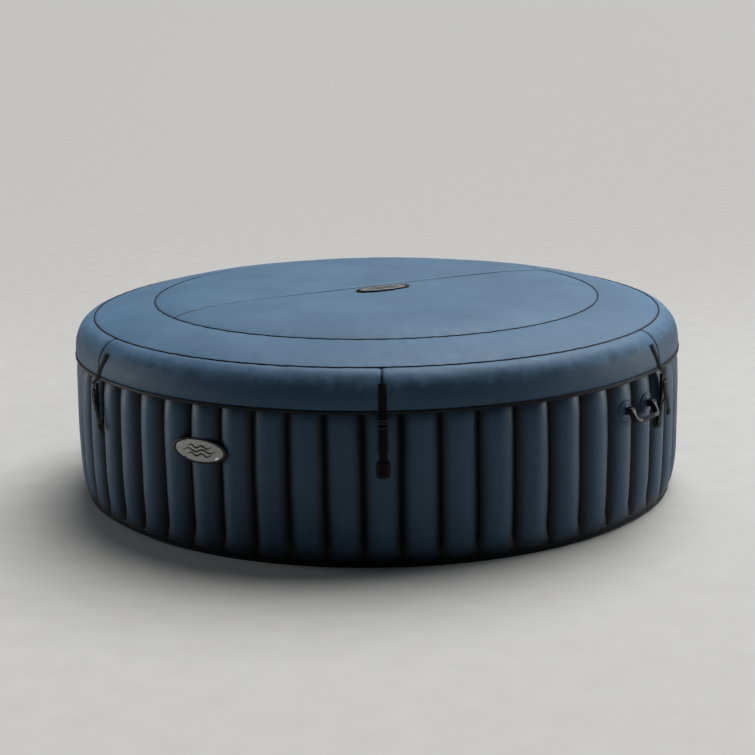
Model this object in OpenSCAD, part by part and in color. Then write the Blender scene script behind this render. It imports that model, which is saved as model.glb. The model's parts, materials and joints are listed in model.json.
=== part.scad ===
// Round inflatable hot tub with a buckled-on insulated cover.
// The origin is the centre of the footprint at ground level. +Z is up and the front strap faces -Y.
// An azimuth is counted from the front (-Y) towards the right (+X).

/* [Outer wall] */
// Largest radius of the wall, at the crest of a flute
wall_r = 1085; // [1060:1:1085]
// Number of upright flutes around the wall
flute_count = 54; // [54]
// Depth of the crease between two flutes
flute_depth = 16; // [8:1:20]
// Height at which the wall bulges furthest out
belly_z = 300; // [240:5:320]
// Radius of the wall's upright curve
barrel_r = 2280; // [2000:10:4000]
// Height of the top of the fluted wall
wall_top = 492; // [470:1:492]
// Thickness of the laminated vinyl sheets
skin = 2; // [1:0.5:2]

/* [Tub inside] */
// Radius of the water space
inner_r = 825; // [800:1:830]
// Thickness of the floor sheet
floor_t = 3; // [2:0.5:4]
// Outer radius of the band around the foot of the wall
band_r = 1062; // [1055:1:1064]
// Height of the band around the foot of the wall
band_h = 28; // [20:1:28]
// Height of the top of the rim
rim_top = 632; // [600:1:632]
// Height of the water ports above the ground
port_z = 250; // [200:5:260]

/* [Cover] */
// Outer radius of the cover's hem
hem_r = 1083.5; // [1083.5:0.5:1090]
// Height of the hem's lower edge
hem_z = 496.5; // [496.5:0.5:500]
// Radius of the crease seam where the top turns down into the side
crease_r = 1010; // [1000:1:1015]
// Height of the crease seam
crease_z = 627; // [627:1:640]
// Radius of the round seam of the crown
crown_r = 796; // [780:1:800]
// Height of the round seam of the crown
crown_z = 670; // [668:1:680]
// Rise of the crown inside its round seam
crown_rise = 34; // [20:1:60]
// Direction of the seam across the crown, from +X
crown_seam_az = 30; // [0:1:90]

/* [Straps and handles] */
// Width of the black webbing
webbing_w = 25; // [20:1:25]
// Height of the handle pivots
handle_z = 408; // [360:1:420]
// Reach of a handle from its pivot to the middle of its grip
handle_reach = 40; // [36:1:80]
// How far below level the right handle rests
right_handle_tilt = 60; // [0:1:80]
// How far below level the left handle rests
left_handle_tilt = 60; // [0:1:80]

/* [Hidden] */
$fn = 144;

navy = [0.12, 0.18, 0.25];
slate = [0.24, 0.33, 0.42];
black = [0.035, 0.035, 0.04];
cream = [0.80, 0.79, 0.75];
silver = [0.72, 0.74, 0.76];

split_az = 0.01;      // half the gap between neighbouring flutes, in degrees
arc_count = 18;       // pieces that the rings around the water space are made in
strap_count = 6;

// The welds aren't spaced quite evenly: the pitch runs a little tight and a little wide by turns.
weld_lead = 2.2;
weld_sway = 1.9;
weld_lean = 15;
function even_az(k) = (k - 0.5) * 360 / flute_count;
function crease_az(k) = even_az(k) + weld_lead - weld_sway * cos(2 * (even_az(k) - weld_lean));
function flute_az(k) = (crease_az(k) + crease_az(k + 1)) / 2;
function wall_sag(z) = barrel_r - sqrt(pow(barrel_r, 2) - pow(z - belly_z, 2));
function crest_r(z) = wall_r - wall_sag(z);
// The wall's largest radius between z - half and z + half, for flat flanges to clear.
function widest_r(z, half) = crest_r(min(max(belly_z, z - half), z + half));

// Flutes that the fittings stand on, counted from the front.
inlet_flute = 22;
air_flute = 23;
outlet_flute = 24;
air_valve_flute = 19;
drain_flute = 31;
right_handle_flute = 7;
left_handle_flute = -16;

air_port_z = 360;
air_valve_z = 400;
drain_z = 95;

water_tube_r = 28.5;
water_spigot_r = 27.5;
water_bore_r = 22;
air_tube_r = 16;
air_spigot_r = 15;
air_bore_r = 11;
valve_tube_r = 16;
drain_tube_r = 13.3;
spigot_len = 30;
run_fit = 0.08;       // radial clearance of a part that turns on another

// Puts local x across, y up and z outwards, along the given azimuth at height z.
module facing(az, z) rotate([0, 0, az]) translate([0, 0, z]) rotate([90, 0, 0]) children();

// Stands a profile of (radius, height) in the upright plane at the given azimuth.
module upright(az, w) {
    rotate([0, 0, az - 90]) rotate([90, 0, 0]) linear_extrude(w, center = true) children();
}

module tube(r_out, r_in, h) {
    difference() {
        cylinder(r = r_out, h = h);
        translate([0, 0, -1]) cylinder(r = r_in, h = h + 2);
    }
}

module box(x, y, z) {
    translate([x[0], y[0], z[0]]) cube([x[1] - x[0], y[1] - y[0], z[1] - z[0]]);
}

// Splits a ring into arcs with a hair's breadth between them.
module arcs(count, gap = 0.02) {
    for (i = [0 : count - 1])
        rotate([0, 0, i * 360 / count + gap]) rotate_extrude(angle = 360 / count - 2 * gap) children();
}

// A flat band of thickness t along an open path.
function unit(v) = v / norm(v);
function side_of(v) = [-v[1], v[0]];
function path_normal(p, i) = let (
    a = i > 0 ? unit(p[i] - p[i - 1]) : unit(p[1] - p[0]),
    b = i < len(p) - 1 ? unit(p[i + 1] - p[i]) : a,
    m = unit(side_of(a) + side_of(b))
) m / max(0.5, m * side_of(a));
module ribbon(p, t) {
    n = len(p) - 1;
    polygon(concat(
        [for (i = [0 : n]) p[i] + path_normal(p, i) * t / 2],
        [for (i = [n : -1 : 0]) p[i] - path_normal(p, i) * t / 2]
    ));
}

/* ---- Tub shell ---- */

module tub_floor() color(cream) cylinder(r = band_r - 15, h = floor_t);

module bottom_band() color(black) arcs(arc_count) translate([band_r - 14, 0]) square([14, band_h]);

// Holes that the fittings pass through: flute, height and radius of each.
hole_fit = 0.3;
through_both = [
    [inlet_flute, port_z, water_tube_r + hole_fit],
    [outlet_flute, port_z, water_tube_r + hole_fit],
    [air_flute, air_port_z, air_tube_r + hole_fit],
    [drain_flute, drain_z, drain_tube_r + hole_fit]
];
through_outer = concat(through_both, [[air_valve_flute, air_valve_z, valve_tube_r + hole_fit]]);

// A bulging strip of sheet between two welds, facing the front.
module flute_blank(k) {
    half = (crease_az(k + 1) - crease_az(k)) / 2;
    weld_r = wall_r - flute_depth;
    half_w = weld_r * sin(half);
    depth = wall_r - weld_r * cos(half);
    bulge_r = (half_w * half_w + depth * depth) / (2 * depth);
    up = asin((wall_top - belly_z) / barrel_r);
    down = asin((belly_z - band_h) / barrel_r);
    far = wall_r * 1.2;
    cut_az = half - split_az;
    intersection() {
        translate([0, barrel_r - wall_r, belly_z])
            rotate([0, 90, 0]) rotate([0, 0, -90 - up]) rotate_extrude(angle = up + down)
            difference() {
                intersection() {
                    translate([barrel_r - bulge_r, 0]) circle(r = bulge_r);
                    translate([barrel_r - depth - 1, -half_w - 2]) square([depth + 2, 2 * half_w + 4]);
                }
                translate([barrel_r - bulge_r, 0]) circle(r = bulge_r - skin);
            }
        linear_extrude(wall_top + 50) polygon([
            [0, 0], [-far * sin(cut_az), -far * cos(cut_az)], [far * sin(cut_az), -far * cos(cut_az)]
        ]);
    }
}

// A flute in its place, with the holes that fall in it.
module flute(k) {
    rotate([0, 0, flute_az(k)]) difference() {
        flute_blank(k);
        for (h = through_outer) if (h[0] == k)
            facing(0, h[1]) translate([0, 0, wall_r - 45]) cylinder(r = h[2], h = 80);
    }
}

module outer_wall_sector(s) {
    color(navy) for (k = [9 * s - 4 : 9 * s + 4]) flute(k);
}

module inner_wall() {
    color(cream) difference() {
        arcs(arc_count) translate([inner_r, floor_t + 0.3]) square([skin, wall_top - floor_t - 3]);
        for (h = through_both)
            facing(flute_az(h[0]), h[1]) translate([0, 0, inner_r - 20]) cylinder(r = h[2], h = 45);
    }
}

// The puffed top of the wall, an arch from the inner wall to the outer one.
rim_c = 940;
rim_foot = wall_top - 2;
rim_step = 15;
function rim_point(t, inset) = [
    rim_c + ((t <= 90 ? 112 : rim_c - inner_r - skin - 1.5) - inset) * cos(t),
    rim_foot + (rim_top - rim_foot - inset) * sin(t)
];
module rim_deck() {
    color(cream) arcs(arc_count) polygon(concat(
        [for (t = [0 : rim_step : 180]) rim_point(t, 0)],
        [for (t = [180 : -rim_step : 0]) rim_point(t, skin)]
    ));
}

// Upright webs inside the wall that hold the two skins together, one at each weld.
web_t = 0.8;
module wall_webs() {
    outer = [for (z = [band_h + 4 : 57 : rim_foot - 3]) [crest_r(z) - flute_depth - 3.5, z]];
    profile = concat(
        [[inner_r + skin + 0.5, floor_t + 2], [band_r - 16, floor_t + 2], [band_r - 16, band_h]],
        outer,
        [for (t = [0 : rim_step : 165]) rim_point(t, skin + 2)],
        [[inner_r + skin + 3, rim_foot + 2], [inner_r + skin + 0.5, wall_top - 6]]
    );
    color(silver) for (k = [0 : flute_count - 1]) upright(crease_az(k), web_t) polygon(profile);
}

/* ---- Air bubble system ---- */

channel_in = 795;
channel_top = 64;
channel_foot = floor_t + 0.3;
jets_per_arc = 4;
module bubble_channel() {
    arc_az = 360 / arc_count;
    wide = inner_r - 0.4 - channel_in;
    high = channel_top - channel_foot;
    color(cream) difference() {
        arcs(arc_count) difference() {
            translate([channel_in, channel_foot]) square([wide, high]);
            translate([channel_in + skin, channel_foot + skin]) square([wide - 2 * skin, high - 2 * skin]);
        }
        for (i = [0 : arc_count - 1], j = [0 : jets_per_arc - 1])
            facing(i * arc_az + (j + 0.5) * arc_az / jets_per_arc, channel_top - 14)
            translate([0, 0, channel_in - 5]) cylinder(r = 1.5, h = 5 + skin + 1);
    }
}

riser_w = 46;
module air_riser() {
    half = riser_w / 2;
    back = inner_r * cos(asin(half / inner_r)) - 0.4;
    front = channel_in + 2;
    top = air_port_z + 30;
    foot = channel_top + 0.3;
    color(cream) facing(flute_az(air_flute), 0) difference() {
        box([-half, half], [foot, top], [front, back]);
        box([-half + skin, half - skin], [foot + skin, top - skin], [front + skin, back - skin]);
        translate([0, air_port_z, channel_in + 10]) cylinder(r = air_tube_r + 0.3, h = 50);
    }
}

/* ---- Ports through the wall ---- */

flange_front = inner_r - 8;
flange_back = inner_r - 1.6;
gasket_t = 3;
nut_t = 18;
function port_face(z) = crest_r(z) + 0.3;
function nut_start(z) = port_face(z) + gasket_t + 0.3;
function spigot_start(z) = nut_start(z) + nut_t + 0.6;
function spigot_end(z) = spigot_start(z) + spigot_len;

module fitting(k, z, start, tube_r, spigot_r, bore_r, flange_r) {
    facing(flute_az(k), z) difference() {
        union() {
            if (flange_r > 0)
                translate([0, 0, flange_front]) cylinder(r = flange_r, h = flange_back - flange_front);
            translate([0, 0, start]) cylinder(r = tube_r, h = spigot_start(z) - start);
            translate([0, 0, start]) cylinder(r = spigot_r, h = spigot_end(z) - start);
        }
        translate([0, 0, start - 10]) cylinder(r = bore_r, h = 400);
    }
}

module port_fittings() {
    color(black) {
        fitting(inlet_flute, port_z, flange_front, water_tube_r, water_spigot_r, water_bore_r, 42);
        fitting(outlet_flute, port_z, flange_front, water_tube_r, water_spigot_r, water_bore_r, 42);
        fitting(air_flute, air_port_z, channel_in + 14, air_tube_r, air_spigot_r, air_bore_r, 0);
    }
}

module gasket(k, z, tube_r) {
    r = tube_r + 11;
    back = widest_r(z, r) + 0.3;
    facing(flute_az(k), z) translate([0, 0, back]) tube(r, tube_r + 0.2, port_face(z) + gasket_t - back);
}

module port_gaskets() {
    color(black) {
        gasket(inlet_flute, port_z, water_tube_r);
        gasket(outlet_flute, port_z, water_tube_r);
        gasket(air_flute, air_port_z, air_tube_r);
    }
}

// A round clamp nut with finger ribs.
nut_ribs = 12;
module port_nut(k, z, tube_r) {
    r = tube_r + 9;
    color(black) facing(flute_az(k), z) translate([0, 0, nut_start(z)]) difference() {
        union() {
            cylinder(r = r, h = nut_t);
            for (i = [0 : nut_ribs - 1])
                rotate([0, 0, i * 360 / nut_ribs]) translate([r - 1, -2.5, 2]) cube([4.5, 5, nut_t - 4]);
        }
        translate([0, 0, -1]) cylinder(r = tube_r + run_fit, h = nut_t + 2);
    }
}

module inlet_nut() port_nut(inlet_flute, port_z, water_tube_r);
module outlet_nut() port_nut(outlet_flute, port_z, water_tube_r);
module air_nut() port_nut(air_flute, air_port_z, air_tube_r);

// A slotted screen cap that turns on the inner end of a water port.
strainer_r = 38;
module strainer(k) {
    depth = 20;
    color(cream) facing(flute_az(k), port_z) translate([0, 0, flange_front - 0.4 - depth]) difference() {
        cylinder(r = strainer_r, h = depth);
        translate([0, 0, 3]) cylinder(r = strainer_r - 3, h = depth);
        for (x = [-24 : 8 : 24])
            translate([x - 1.5, -sqrt(900 - x * x), -1]) cube([3, 2 * sqrt(900 - x * x), 5]);
    }
}
module inlet_strainer() strainer(inlet_flute);
module outlet_strainer() strainer(outlet_flute);

/* ---- Valves with a hinged cap ---- */

knuckle_r = 3.2;
pin_r = 1.5;
knuckle_half = 4.5;
ear_w = 4;

// z is outwards, with the flange from 0 to flange_t. The cap's hinge lies across, above the spigot.
module valve_body(flange_r, flange_t, tube_r, bore_r, reach, depth, pivot) {
    ears = knuckle_half + 0.3 + ear_w;
    difference() {
        union() {
            cylinder(r = flange_r, h = flange_t);
            translate([0, 0, -depth]) cylinder(r = tube_r, h = depth + reach);
            box([-ears, ears], [flange_r / 2, pivot[0] + knuckle_r], [0, flange_t]);
            for (s = [-1, 1]) translate([s * (knuckle_half + 0.3 + ear_w / 2), pivot[0], 0]) {
                translate([-ear_w / 2, -knuckle_r, 0]) cube([ear_w, 2 * knuckle_r, pivot[1]]);
                translate([-ear_w / 2, 0, pivot[1]]) rotate([0, 90, 0]) cylinder(r = knuckle_r, h = ear_w);
            }
            translate([-ears, pivot[0], pivot[1]]) rotate([0, 90, 0]) cylinder(r = pin_r, h = 2 * ears);
        }
        translate([0, 0, -depth - 1]) cylinder(r = bore_r, h = depth + reach + 2);
    }
}

// A shallow lid that overlaps the end of the tube by cap_lap, so that it clears the tube as it tips open.
cap_lap = 5;
cap_t = 2.5;
module valve_cap(cap_r, tube_r, reach, pivot) {
    difference() {
        union() {
            translate([0, 0, reach - cap_lap]) cylinder(r = cap_r, h = cap_lap + cap_t);
            box([-knuckle_half, knuckle_half], [cap_r - 3, pivot[0]], [pivot[1] - 1, pivot[1] + knuckle_r]);
            translate([-knuckle_half, pivot[0], pivot[1]]) rotate([0, 90, 0])
                cylinder(r = knuckle_r, h = 2 * knuckle_half);
        }
        translate([0, 0, reach - cap_lap - 1]) cylinder(r = tube_r + 0.8, h = cap_lap + 1.4);
        translate([-10, pivot[0], pivot[1]]) rotate([0, 90, 0]) cylinder(r = pin_r + run_fit, h = 20);
    }
}

valve_bore_r = 12;
valve_reach = 14;
valve_pivot = [29, 7.5];
flange_gap = 0.3;
air_valve_face = widest_r(air_valve_z, valve_pivot[0] + knuckle_r) + flange_gap;
module at_air_valve() {
    facing(flute_az(air_valve_flute), air_valve_z) translate([0, 0, air_valve_face]) children();
}
module air_valve() {
    color(black) at_air_valve() valve_body(30, 3, valve_tube_r, valve_bore_r, valve_reach, 30, valve_pivot);
}
module air_valve_cap() color(black) at_air_valve() valve_cap(20, valve_tube_r, valve_reach, valve_pivot);

drain_bore_r = 9;
drain_reach = 14;
drain_pivot = [27.5, 7.5];
drain_face = widest_r(drain_z, drain_pivot[0] + knuckle_r) + flange_gap;
drain_depth = drain_face - flange_front;
module at_drain() facing(flute_az(drain_flute), drain_z) translate([0, 0, drain_face]) children();
module drain_valve() {
    color(black) at_drain() {
        valve_body(26, 3, drain_tube_r, drain_bore_r, drain_reach, drain_depth, drain_pivot);
        translate([0, 0, -drain_depth]) tube(26, drain_bore_r + 1, flange_back - flange_front);
    }
}
module drain_cap() color(black) at_drain() valve_cap(17.5, drain_tube_r, drain_reach, drain_pivot);

/* ---- Handles ---- */

anchor_r = 35;
anchor_t = 4;
leg_t = 12;
grip_h = 20;
handle_pin_r = 5;
leg_end_r = 11;
pivot_out = 20;       // pivot line in front of the wall
function handle_az(k) = (flute_az(k) + flute_az(k + 1)) / 2;
function handle_half_az(k) = (flute_az(k + 1) - flute_az(k)) / 2;
function pivot_r(k) = (crest_r(handle_z) + pivot_out) * cos(handle_half_az(k));
function leg_x(k) = (crest_r(handle_z) + pivot_out) * sin(handle_half_az(k));

module handle_anchor(k, s) {
    ear_in = leg_t / 2 + 0.4;
    ear = 4.6;
    back = widest_r(handle_z, anchor_r) + 0.3;
    front = crest_r(handle_z) + 0.4 + anchor_t;
    facing(handle_az(k), handle_z) {
        difference() {
            union() {
                rotate([0, s * handle_half_az(k), 0]) translate([0, 0, back])
                    cylinder(r = anchor_r, h = front - back);
                for (e = [-1, 1]) translate([s * leg_x(k) + e * (ear_in + ear / 2), 0, pivot_r(k)]) {
                    translate([-ear / 2, -11, -pivot_out + 2]) cube([ear, 22, pivot_out - 2]);
                    translate([-ear / 2, 0, 0]) rotate([0, 90, 0]) cylinder(r = 11, h = ear);
                }
            }
            translate([s * leg_x(k) - 20, 0, pivot_r(k)]) rotate([0, 90, 0])
                cylinder(r = handle_pin_r + 0.03, h = 40);
        }
    }
}

module handle_anchors() {
    color(black) for (k = [right_handle_flute, left_handle_flute], s = [-1, 1]) handle_anchor(k, s);
}

module handle_pins() {
    color(black) for (k = [right_handle_flute, left_handle_flute], s = [-1, 1])
        facing(handle_az(k), handle_z) translate([s * leg_x(k) - 12, 0, pivot_r(k)]) rotate([0, 90, 0])
        cylinder(r = handle_pin_r, h = 24);
}

// Half of the U-shaped handle, seen square on: a leg, a round corner and half of the grip.
module handle_half_outline(x, reach) {
    corner = 24;
    translate([x - leg_t / 2, 0]) square([leg_t, reach - corner + leg_t / 2]);
    translate([0, reach - leg_t / 2]) square([x - corner + leg_t / 2, leg_t]);
    translate([x - corner + leg_t / 2, reach - corner + leg_t / 2]) intersection() {
        difference() {
            circle(r = corner);
            circle(r = corner - leg_t);
        }
        square(corner);
    }
}

module handle(k, tilt) {
    color(black) facing(handle_az(k), handle_z) translate([0, 0, pivot_r(k)]) rotate([tilt, 0, 0])
        difference() {
            union() {
                rotate([90, 0, 0]) linear_extrude(grip_h, center = true) {
                    handle_half_outline(leg_x(k), handle_reach);
                    mirror([1, 0]) handle_half_outline(leg_x(k), handle_reach);
                }
                for (s = [-1, 1]) translate([s * leg_x(k) - leg_t / 2, 0, 0]) rotate([0, 90, 0])
                    cylinder(r = leg_end_r, h = leg_t);
            }
            translate([-100, 0, 0]) rotate([0, 90, 0]) cylinder(r = handle_pin_r + run_fit, h = 200);
        }
}

module right_handle() handle(right_handle_flute, right_handle_tilt);
module left_handle() handle(left_handle_flute, left_handle_tilt);

/* ---- Badges ---- */

badge_w = 215;
badge_h = 82;
module wall_badge() {
    badge_az = -31.2;
    badge_z = 349;
    color(silver) intersection() {
        facing(badge_az, badge_z) scale([badge_w / 2, badge_h / 2, 1]) translate([0, 0, wall_r - 40])
            cylinder(r = 1, h = 80);
        tube(wall_r + 3, wall_r + 0.6, 500);
    }
}

module cover_badge() {
    color(silver) translate([24, -79, crown_z + crown_rise + 0.3]) rotate([0, 0, crown_seam_az])
        scale([badge_w / 2, badge_h / 2, 1]) cylinder(r = 1, h = 1.6);
}

/* ---- Cover ---- */

crown_power = 8;
function crown_height(r) = crown_z + crown_rise * (1 - pow(r / crown_r, crown_power));
crown_radii = [0, 300, 450, 540, 610, 660, 700, 730, 755, 775, crown_r];

module crown_profile(lower, upper) {
    polygon(concat(
        [for (r = crown_radii) [min(r, crown_r - 0.4), crown_height(r) - upper]],
        [for (i = [len(crown_radii) - 1 : -1 : 0])
            [min(crown_radii[i], crown_r - 0.4), crown_height(crown_radii[i]) - lower]]
    ));
}

// Half of the crown, on the front (-1) or the back (1) of the seam across it.
module crown_half(side) {
    big = 2 * crown_r;
    color(slate) intersection() {
        rotate_extrude() crown_profile(skin, 0);
        rotate([0, 0, crown_seam_az]) translate([-big / 2, side > 0 ? 0.2 : -big - 0.2, 0])
            cube([big, big, big]);
    }
}
module cover_top_front() crown_half(-1);
module cover_top_back() crown_half(1);

module cover_ring() {
    color(slate) rotate_extrude() polygon([
        [crease_r, crease_z], [crown_r, crown_z], [crown_r, crown_z - skin], [crease_r, crease_z - skin]
    ]);
}

binding_h = 10;
skirt_foot = [hem_r - 5, hem_z + binding_h + 0.3];
skirt_head = [crease_r, crease_z - skin - 0.3];
module cover_skirt() {
    color(slate) arcs(strap_count) polygon([
        skirt_head, skirt_foot, skirt_foot - [skin, 0], skirt_head - [skin * 1.2, 0]
    ]);
}

module hem_binding() {
    color(black) arcs(strap_count) translate([hem_r - 6, hem_z]) square([6, binding_h]);
}

module seam_piping() {
    color(black) rotate_extrude() translate([crease_r + 2, crease_z - 1]) circle(r = 1.6);
    color(black) rotate_extrude() translate([crown_r + 0.4, crown_z + 1.9]) circle(r = 1.4);
}

liner_z = rim_top + 2.5;
liner_hole_r = 28;
module cover_liner() {
    color(cream) difference() {
        translate([0, 0, liner_z]) cylinder(r = 940, h = 1.5);
        at_bladder_valve() translate([0, 0, -20]) cylinder(r = liner_hole_r, h = 40);
    }
}

// The inflated insulating disc inside the cover, open at its valve.
bladder_r = 785;
bladder_z = liner_z + 2;
bladder_t = 1.5;
module bladder_solid(inset) {
    rotate_extrude() polygon(concat(
        [[0, bladder_z + inset], [bladder_r - inset, bladder_z + inset]],
        [for (i = [len(crown_radii) - 1 : -1 : 0])
            [min(crown_radii[i], bladder_r - inset), crown_height(crown_radii[i]) - 5 - inset]]
    ));
}
module cover_bladder() {
    color(silver) difference() {
        bladder_solid(0);
        bladder_solid(bladder_t);
        at_bladder_valve() translate([0, 0, -20]) cylinder(r = bladder_valve_r + 0.3, h = 60);
    }
}

bladder_valve_r = 11;
bladder_pivot = [22, 7.5];
module at_bladder_valve() translate([200, -560, bladder_z - 0.3]) rotate([180, 0, 0]) children();
module bladder_valve() color(black) at_bladder_valve() valve_body(20, 3, bladder_valve_r, 8, 12, 8, bladder_pivot);
module bladder_valve_cap() color(black) at_bladder_valve() valve_cap(14.5, bladder_valve_r, 12, bladder_pivot);

/* ---- Straps and side-release buckles ---- */

strap_t = 1.4;
buckle_half = 17;
buckle_in = 1087;     // wall side of the buckle, as a radius
buckle_out = 1099;
mouth_z = 407;
socket_top = 456.5;
ladder_top = 487;
rail_in = 13.2;
base_foot = 386;
base_top = 406.5;
loop_bar = [1093, 390.5];
loop_bar_r = 2.5;
peg_z = 411.5;
peg_x = 11;
peg_r = 1.5;
prong_in = 1091.6;
prong_out = 1096.4;
strap_lead = 0.75;    // the straps stand a little to the right of the wall's axes, in degrees
function strap_az(i) = i * 360 / strap_count + strap_lead;

module cover_straps() {
    path = [
        [1039.2, 578.8], [1082.6, 510.4], [1085.6, 506.2], [1085.6, 495.5], [1094, 489.5], [1096.4, 483],
        [1095.6, 478.5], [1090.6, 473.5], [1090.6, 468.5], [1094, 463.5], [1099, 460.5], [1101, 455],
        [1101.6, 400], [1100.6, 335]
    ];
    color(black) for (i = [0 : strap_count - 1]) upright(strap_az(i), webbing_w) ribbon(path, strap_t);
}

module lower_straps() {
    path = [
        [1086.8, 306], [1086.8, 376], [1089.4, 389], [1090.5, 393], [1093, 394.3], [1095.6, 393],
        [1096.6, 390.4], [1095.6, 387.4], [1089.2, 376], [1088.9, 330]
    ];
    color(black) for (i = [0 : strap_count - 1]) upright(strap_az(i), webbing_w) ribbon(path, strap_t);
}

module strap_patches() {
    color(black) for (i = [0 : strap_count - 1])
        facing(strap_az(i), 0) box([-22, 22], [296, 352], [1085.3, 1085.9]);
}

// The half on the cover: a flat sleeve with side windows below a ladder of webbing bars.
module buckle_sockets() {
    color(black) for (i = [0 : strap_count - 1]) facing(strap_az(i), 0) difference() {
        union() {
            box([-buckle_half, buckle_half], [mouth_z, socket_top], [buckle_in, buckle_out]);
            for (s = [-1, 1]) translate([s * (buckle_half + rail_in) / 2, 0, 0])
                box([-1.9, 1.9], [socket_top - 1, ladder_top], [buckle_in + 1, buckle_out - 1]);
            box([-rail_in - 1, rail_in + 1], [481, 485], [buckle_in + 2, 1094]);
            box([-rail_in - 1, rail_in + 1], [469, 473], [1092.5, 1097.5]);
        }
        box([-15.1, 15.1], [mouth_z - 1, 450], [1089.6, 1096.9]);
        for (s = [-1, 1]) translate([s * 20, 0, 0]) box([-5.1, 5.1], [417, 447], [buckle_in - 1, buckle_out + 1]);
    }
}

// The half on the tub, with a guide tongue and the pegs that its two prongs bend about.
module buckle_bases() {
    color(black) for (i = [0 : strap_count - 1]) facing(strap_az(i), 0) {
        box([-buckle_half, buckle_half], [398, base_top], [1088, 1098]);
        for (s = [-1, 1]) translate([s * (buckle_half + rail_in) / 2, 0, 0])
            box([-1.9, 1.9], [base_foot, 399], [1089.5, 1096.5]);
        translate([-rail_in - 1, loop_bar[1], loop_bar[0]]) rotate([0, 90, 0])
            cylinder(r = loop_bar_r, h = 2 * rail_in + 2);
        box([-14.6, 14.6], [base_top - 1, 416], [1090.2, prong_in - 0.2]);
        box([-3, 3], [base_top - 1, 445], [1090.2, prong_out]);
        for (s = [-1, 1]) translate([s * peg_x, peg_z, 1091]) cylinder(r = peg_r, h = prong_out - 1091);
    }
}

module prong(i, s) {
    color(black) facing(strap_az(i), 0) difference() {
        union() {
            translate([s * peg_x, peg_z, prong_in]) cylinder(r = 3.4, h = prong_out - prong_in);
            translate([s * peg_x, 0, 0]) {
                box([-1.8, 1.8], [peg_z, 440], [prong_in, prong_out]);
                box([s > 0 ? -1.8 : -3.8, s > 0 ? 3.8 : 1.8], [419, 445], [prong_in, prong_out]);
            }
        }
        translate([s * peg_x, peg_z, prong_in - 1]) cylinder(r = peg_r + run_fit, h = 20);
    }
}

/* ---- Assembly ---- */

sectors = [
    "outer_wall_front", "outer_wall_front_right", "outer_wall_back_right",
    "outer_wall_back", "outer_wall_back_left", "outer_wall_front_left"
];
for (s = [0 : 5]) outer_wall_sector(s);
for (i = [0 : strap_count - 1]) {
    prong(i, -1);
    prong(i, 1);
}
tub_floor();
bottom_band();
inner_wall();
rim_deck();
wall_webs();
bubble_channel();
air_riser();
air_valve();
air_valve_cap();
drain_valve();
drain_cap();
port_fittings();
port_gaskets();
inlet_nut();
outlet_nut();
air_nut();
inlet_strainer();
outlet_strainer();
handle_anchors();
handle_pins();
right_handle();
left_handle();
wall_badge();
strap_patches();
lower_straps();
buckle_bases();
cover_top_front();
cover_top_back();
cover_ring();
cover_skirt();
hem_binding();
seam_piping();
cover_liner();
cover_bladder();
bladder_valve();
bladder_valve_cap();
cover_straps();
buckle_sockets();
cover_badge();
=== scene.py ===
"""A round inflatable hot tub and its buckled-on cover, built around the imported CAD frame. In metres."""
import json
import math

import bmesh
import bpy
from mathutils import Matrix, Vector
from mathutils.noise import noise

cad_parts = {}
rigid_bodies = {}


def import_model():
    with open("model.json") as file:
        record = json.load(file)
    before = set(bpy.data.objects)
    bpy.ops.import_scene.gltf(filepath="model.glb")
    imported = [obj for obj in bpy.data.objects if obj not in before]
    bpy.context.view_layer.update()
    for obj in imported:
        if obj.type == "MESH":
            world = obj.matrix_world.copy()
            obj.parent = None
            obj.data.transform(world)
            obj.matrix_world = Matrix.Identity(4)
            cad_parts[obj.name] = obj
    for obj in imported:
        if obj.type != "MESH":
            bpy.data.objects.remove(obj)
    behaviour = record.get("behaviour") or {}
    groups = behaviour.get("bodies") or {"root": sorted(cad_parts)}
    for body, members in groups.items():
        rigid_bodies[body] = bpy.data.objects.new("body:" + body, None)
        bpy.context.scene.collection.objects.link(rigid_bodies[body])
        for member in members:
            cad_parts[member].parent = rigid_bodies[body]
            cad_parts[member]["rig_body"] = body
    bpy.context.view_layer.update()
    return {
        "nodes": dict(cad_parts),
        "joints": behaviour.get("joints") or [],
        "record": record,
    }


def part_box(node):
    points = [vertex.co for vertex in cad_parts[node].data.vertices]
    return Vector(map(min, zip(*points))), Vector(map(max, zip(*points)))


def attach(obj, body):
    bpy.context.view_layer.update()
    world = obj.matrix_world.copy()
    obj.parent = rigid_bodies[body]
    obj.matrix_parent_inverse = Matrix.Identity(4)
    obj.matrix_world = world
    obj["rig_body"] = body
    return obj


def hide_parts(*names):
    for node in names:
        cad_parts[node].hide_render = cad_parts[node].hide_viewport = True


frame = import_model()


# ---- Driving dimensions, read from the frame ----

def reach(node):
    """The largest distance of a CAD node from the upright axis."""
    return max(math.hypot(v.co.x, v.co.y) for v in frame["nodes"][node].data.vertices)


def foot(node):
    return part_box(node)[0].z


def head(node):
    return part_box(node)[1].z


SKIN = 0.0015
WALL_R = reach("outer_wall_front")
BAND_R = reach("bottom_band")
INNER_R = min(math.hypot(v.co.x, v.co.y) for v in frame["nodes"]["inner_wall"].data.vertices)
RIM_TOP = head("rim_deck")
RIM_FOOT = foot("rim_deck")
HEM_R = reach("hem_binding")
HEM_FOOT = foot("hem_binding")
HEM_TOP = head("hem_binding")
CREASE_R = reach("cover_ring")
CREASE_Z = foot("cover_ring") + 0.002
CROWN_R = reach("cover_top_front")
CROWN_Z = head("cover_ring")
CROWN_TOP = head("cover_top_front")
LINER_Z = foot("cover_liner")
BLADDER_FOOT = foot("cover_bladder")
BLADDER_R = reach("cover_bladder")

# The same weld spacing as in the CAD source, in degrees.
FLUTES = 54
PITCH = 360 / FLUTES
WELD_LEAD = 2.2
WELD_SWAY = 1.9
STRAPS = 6
STRAP_PITCH = 360 / STRAPS
STRAP_LEAD = 0.75
CROWN_SEAM_AZ = 30


# ---- Small maths ----

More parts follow.
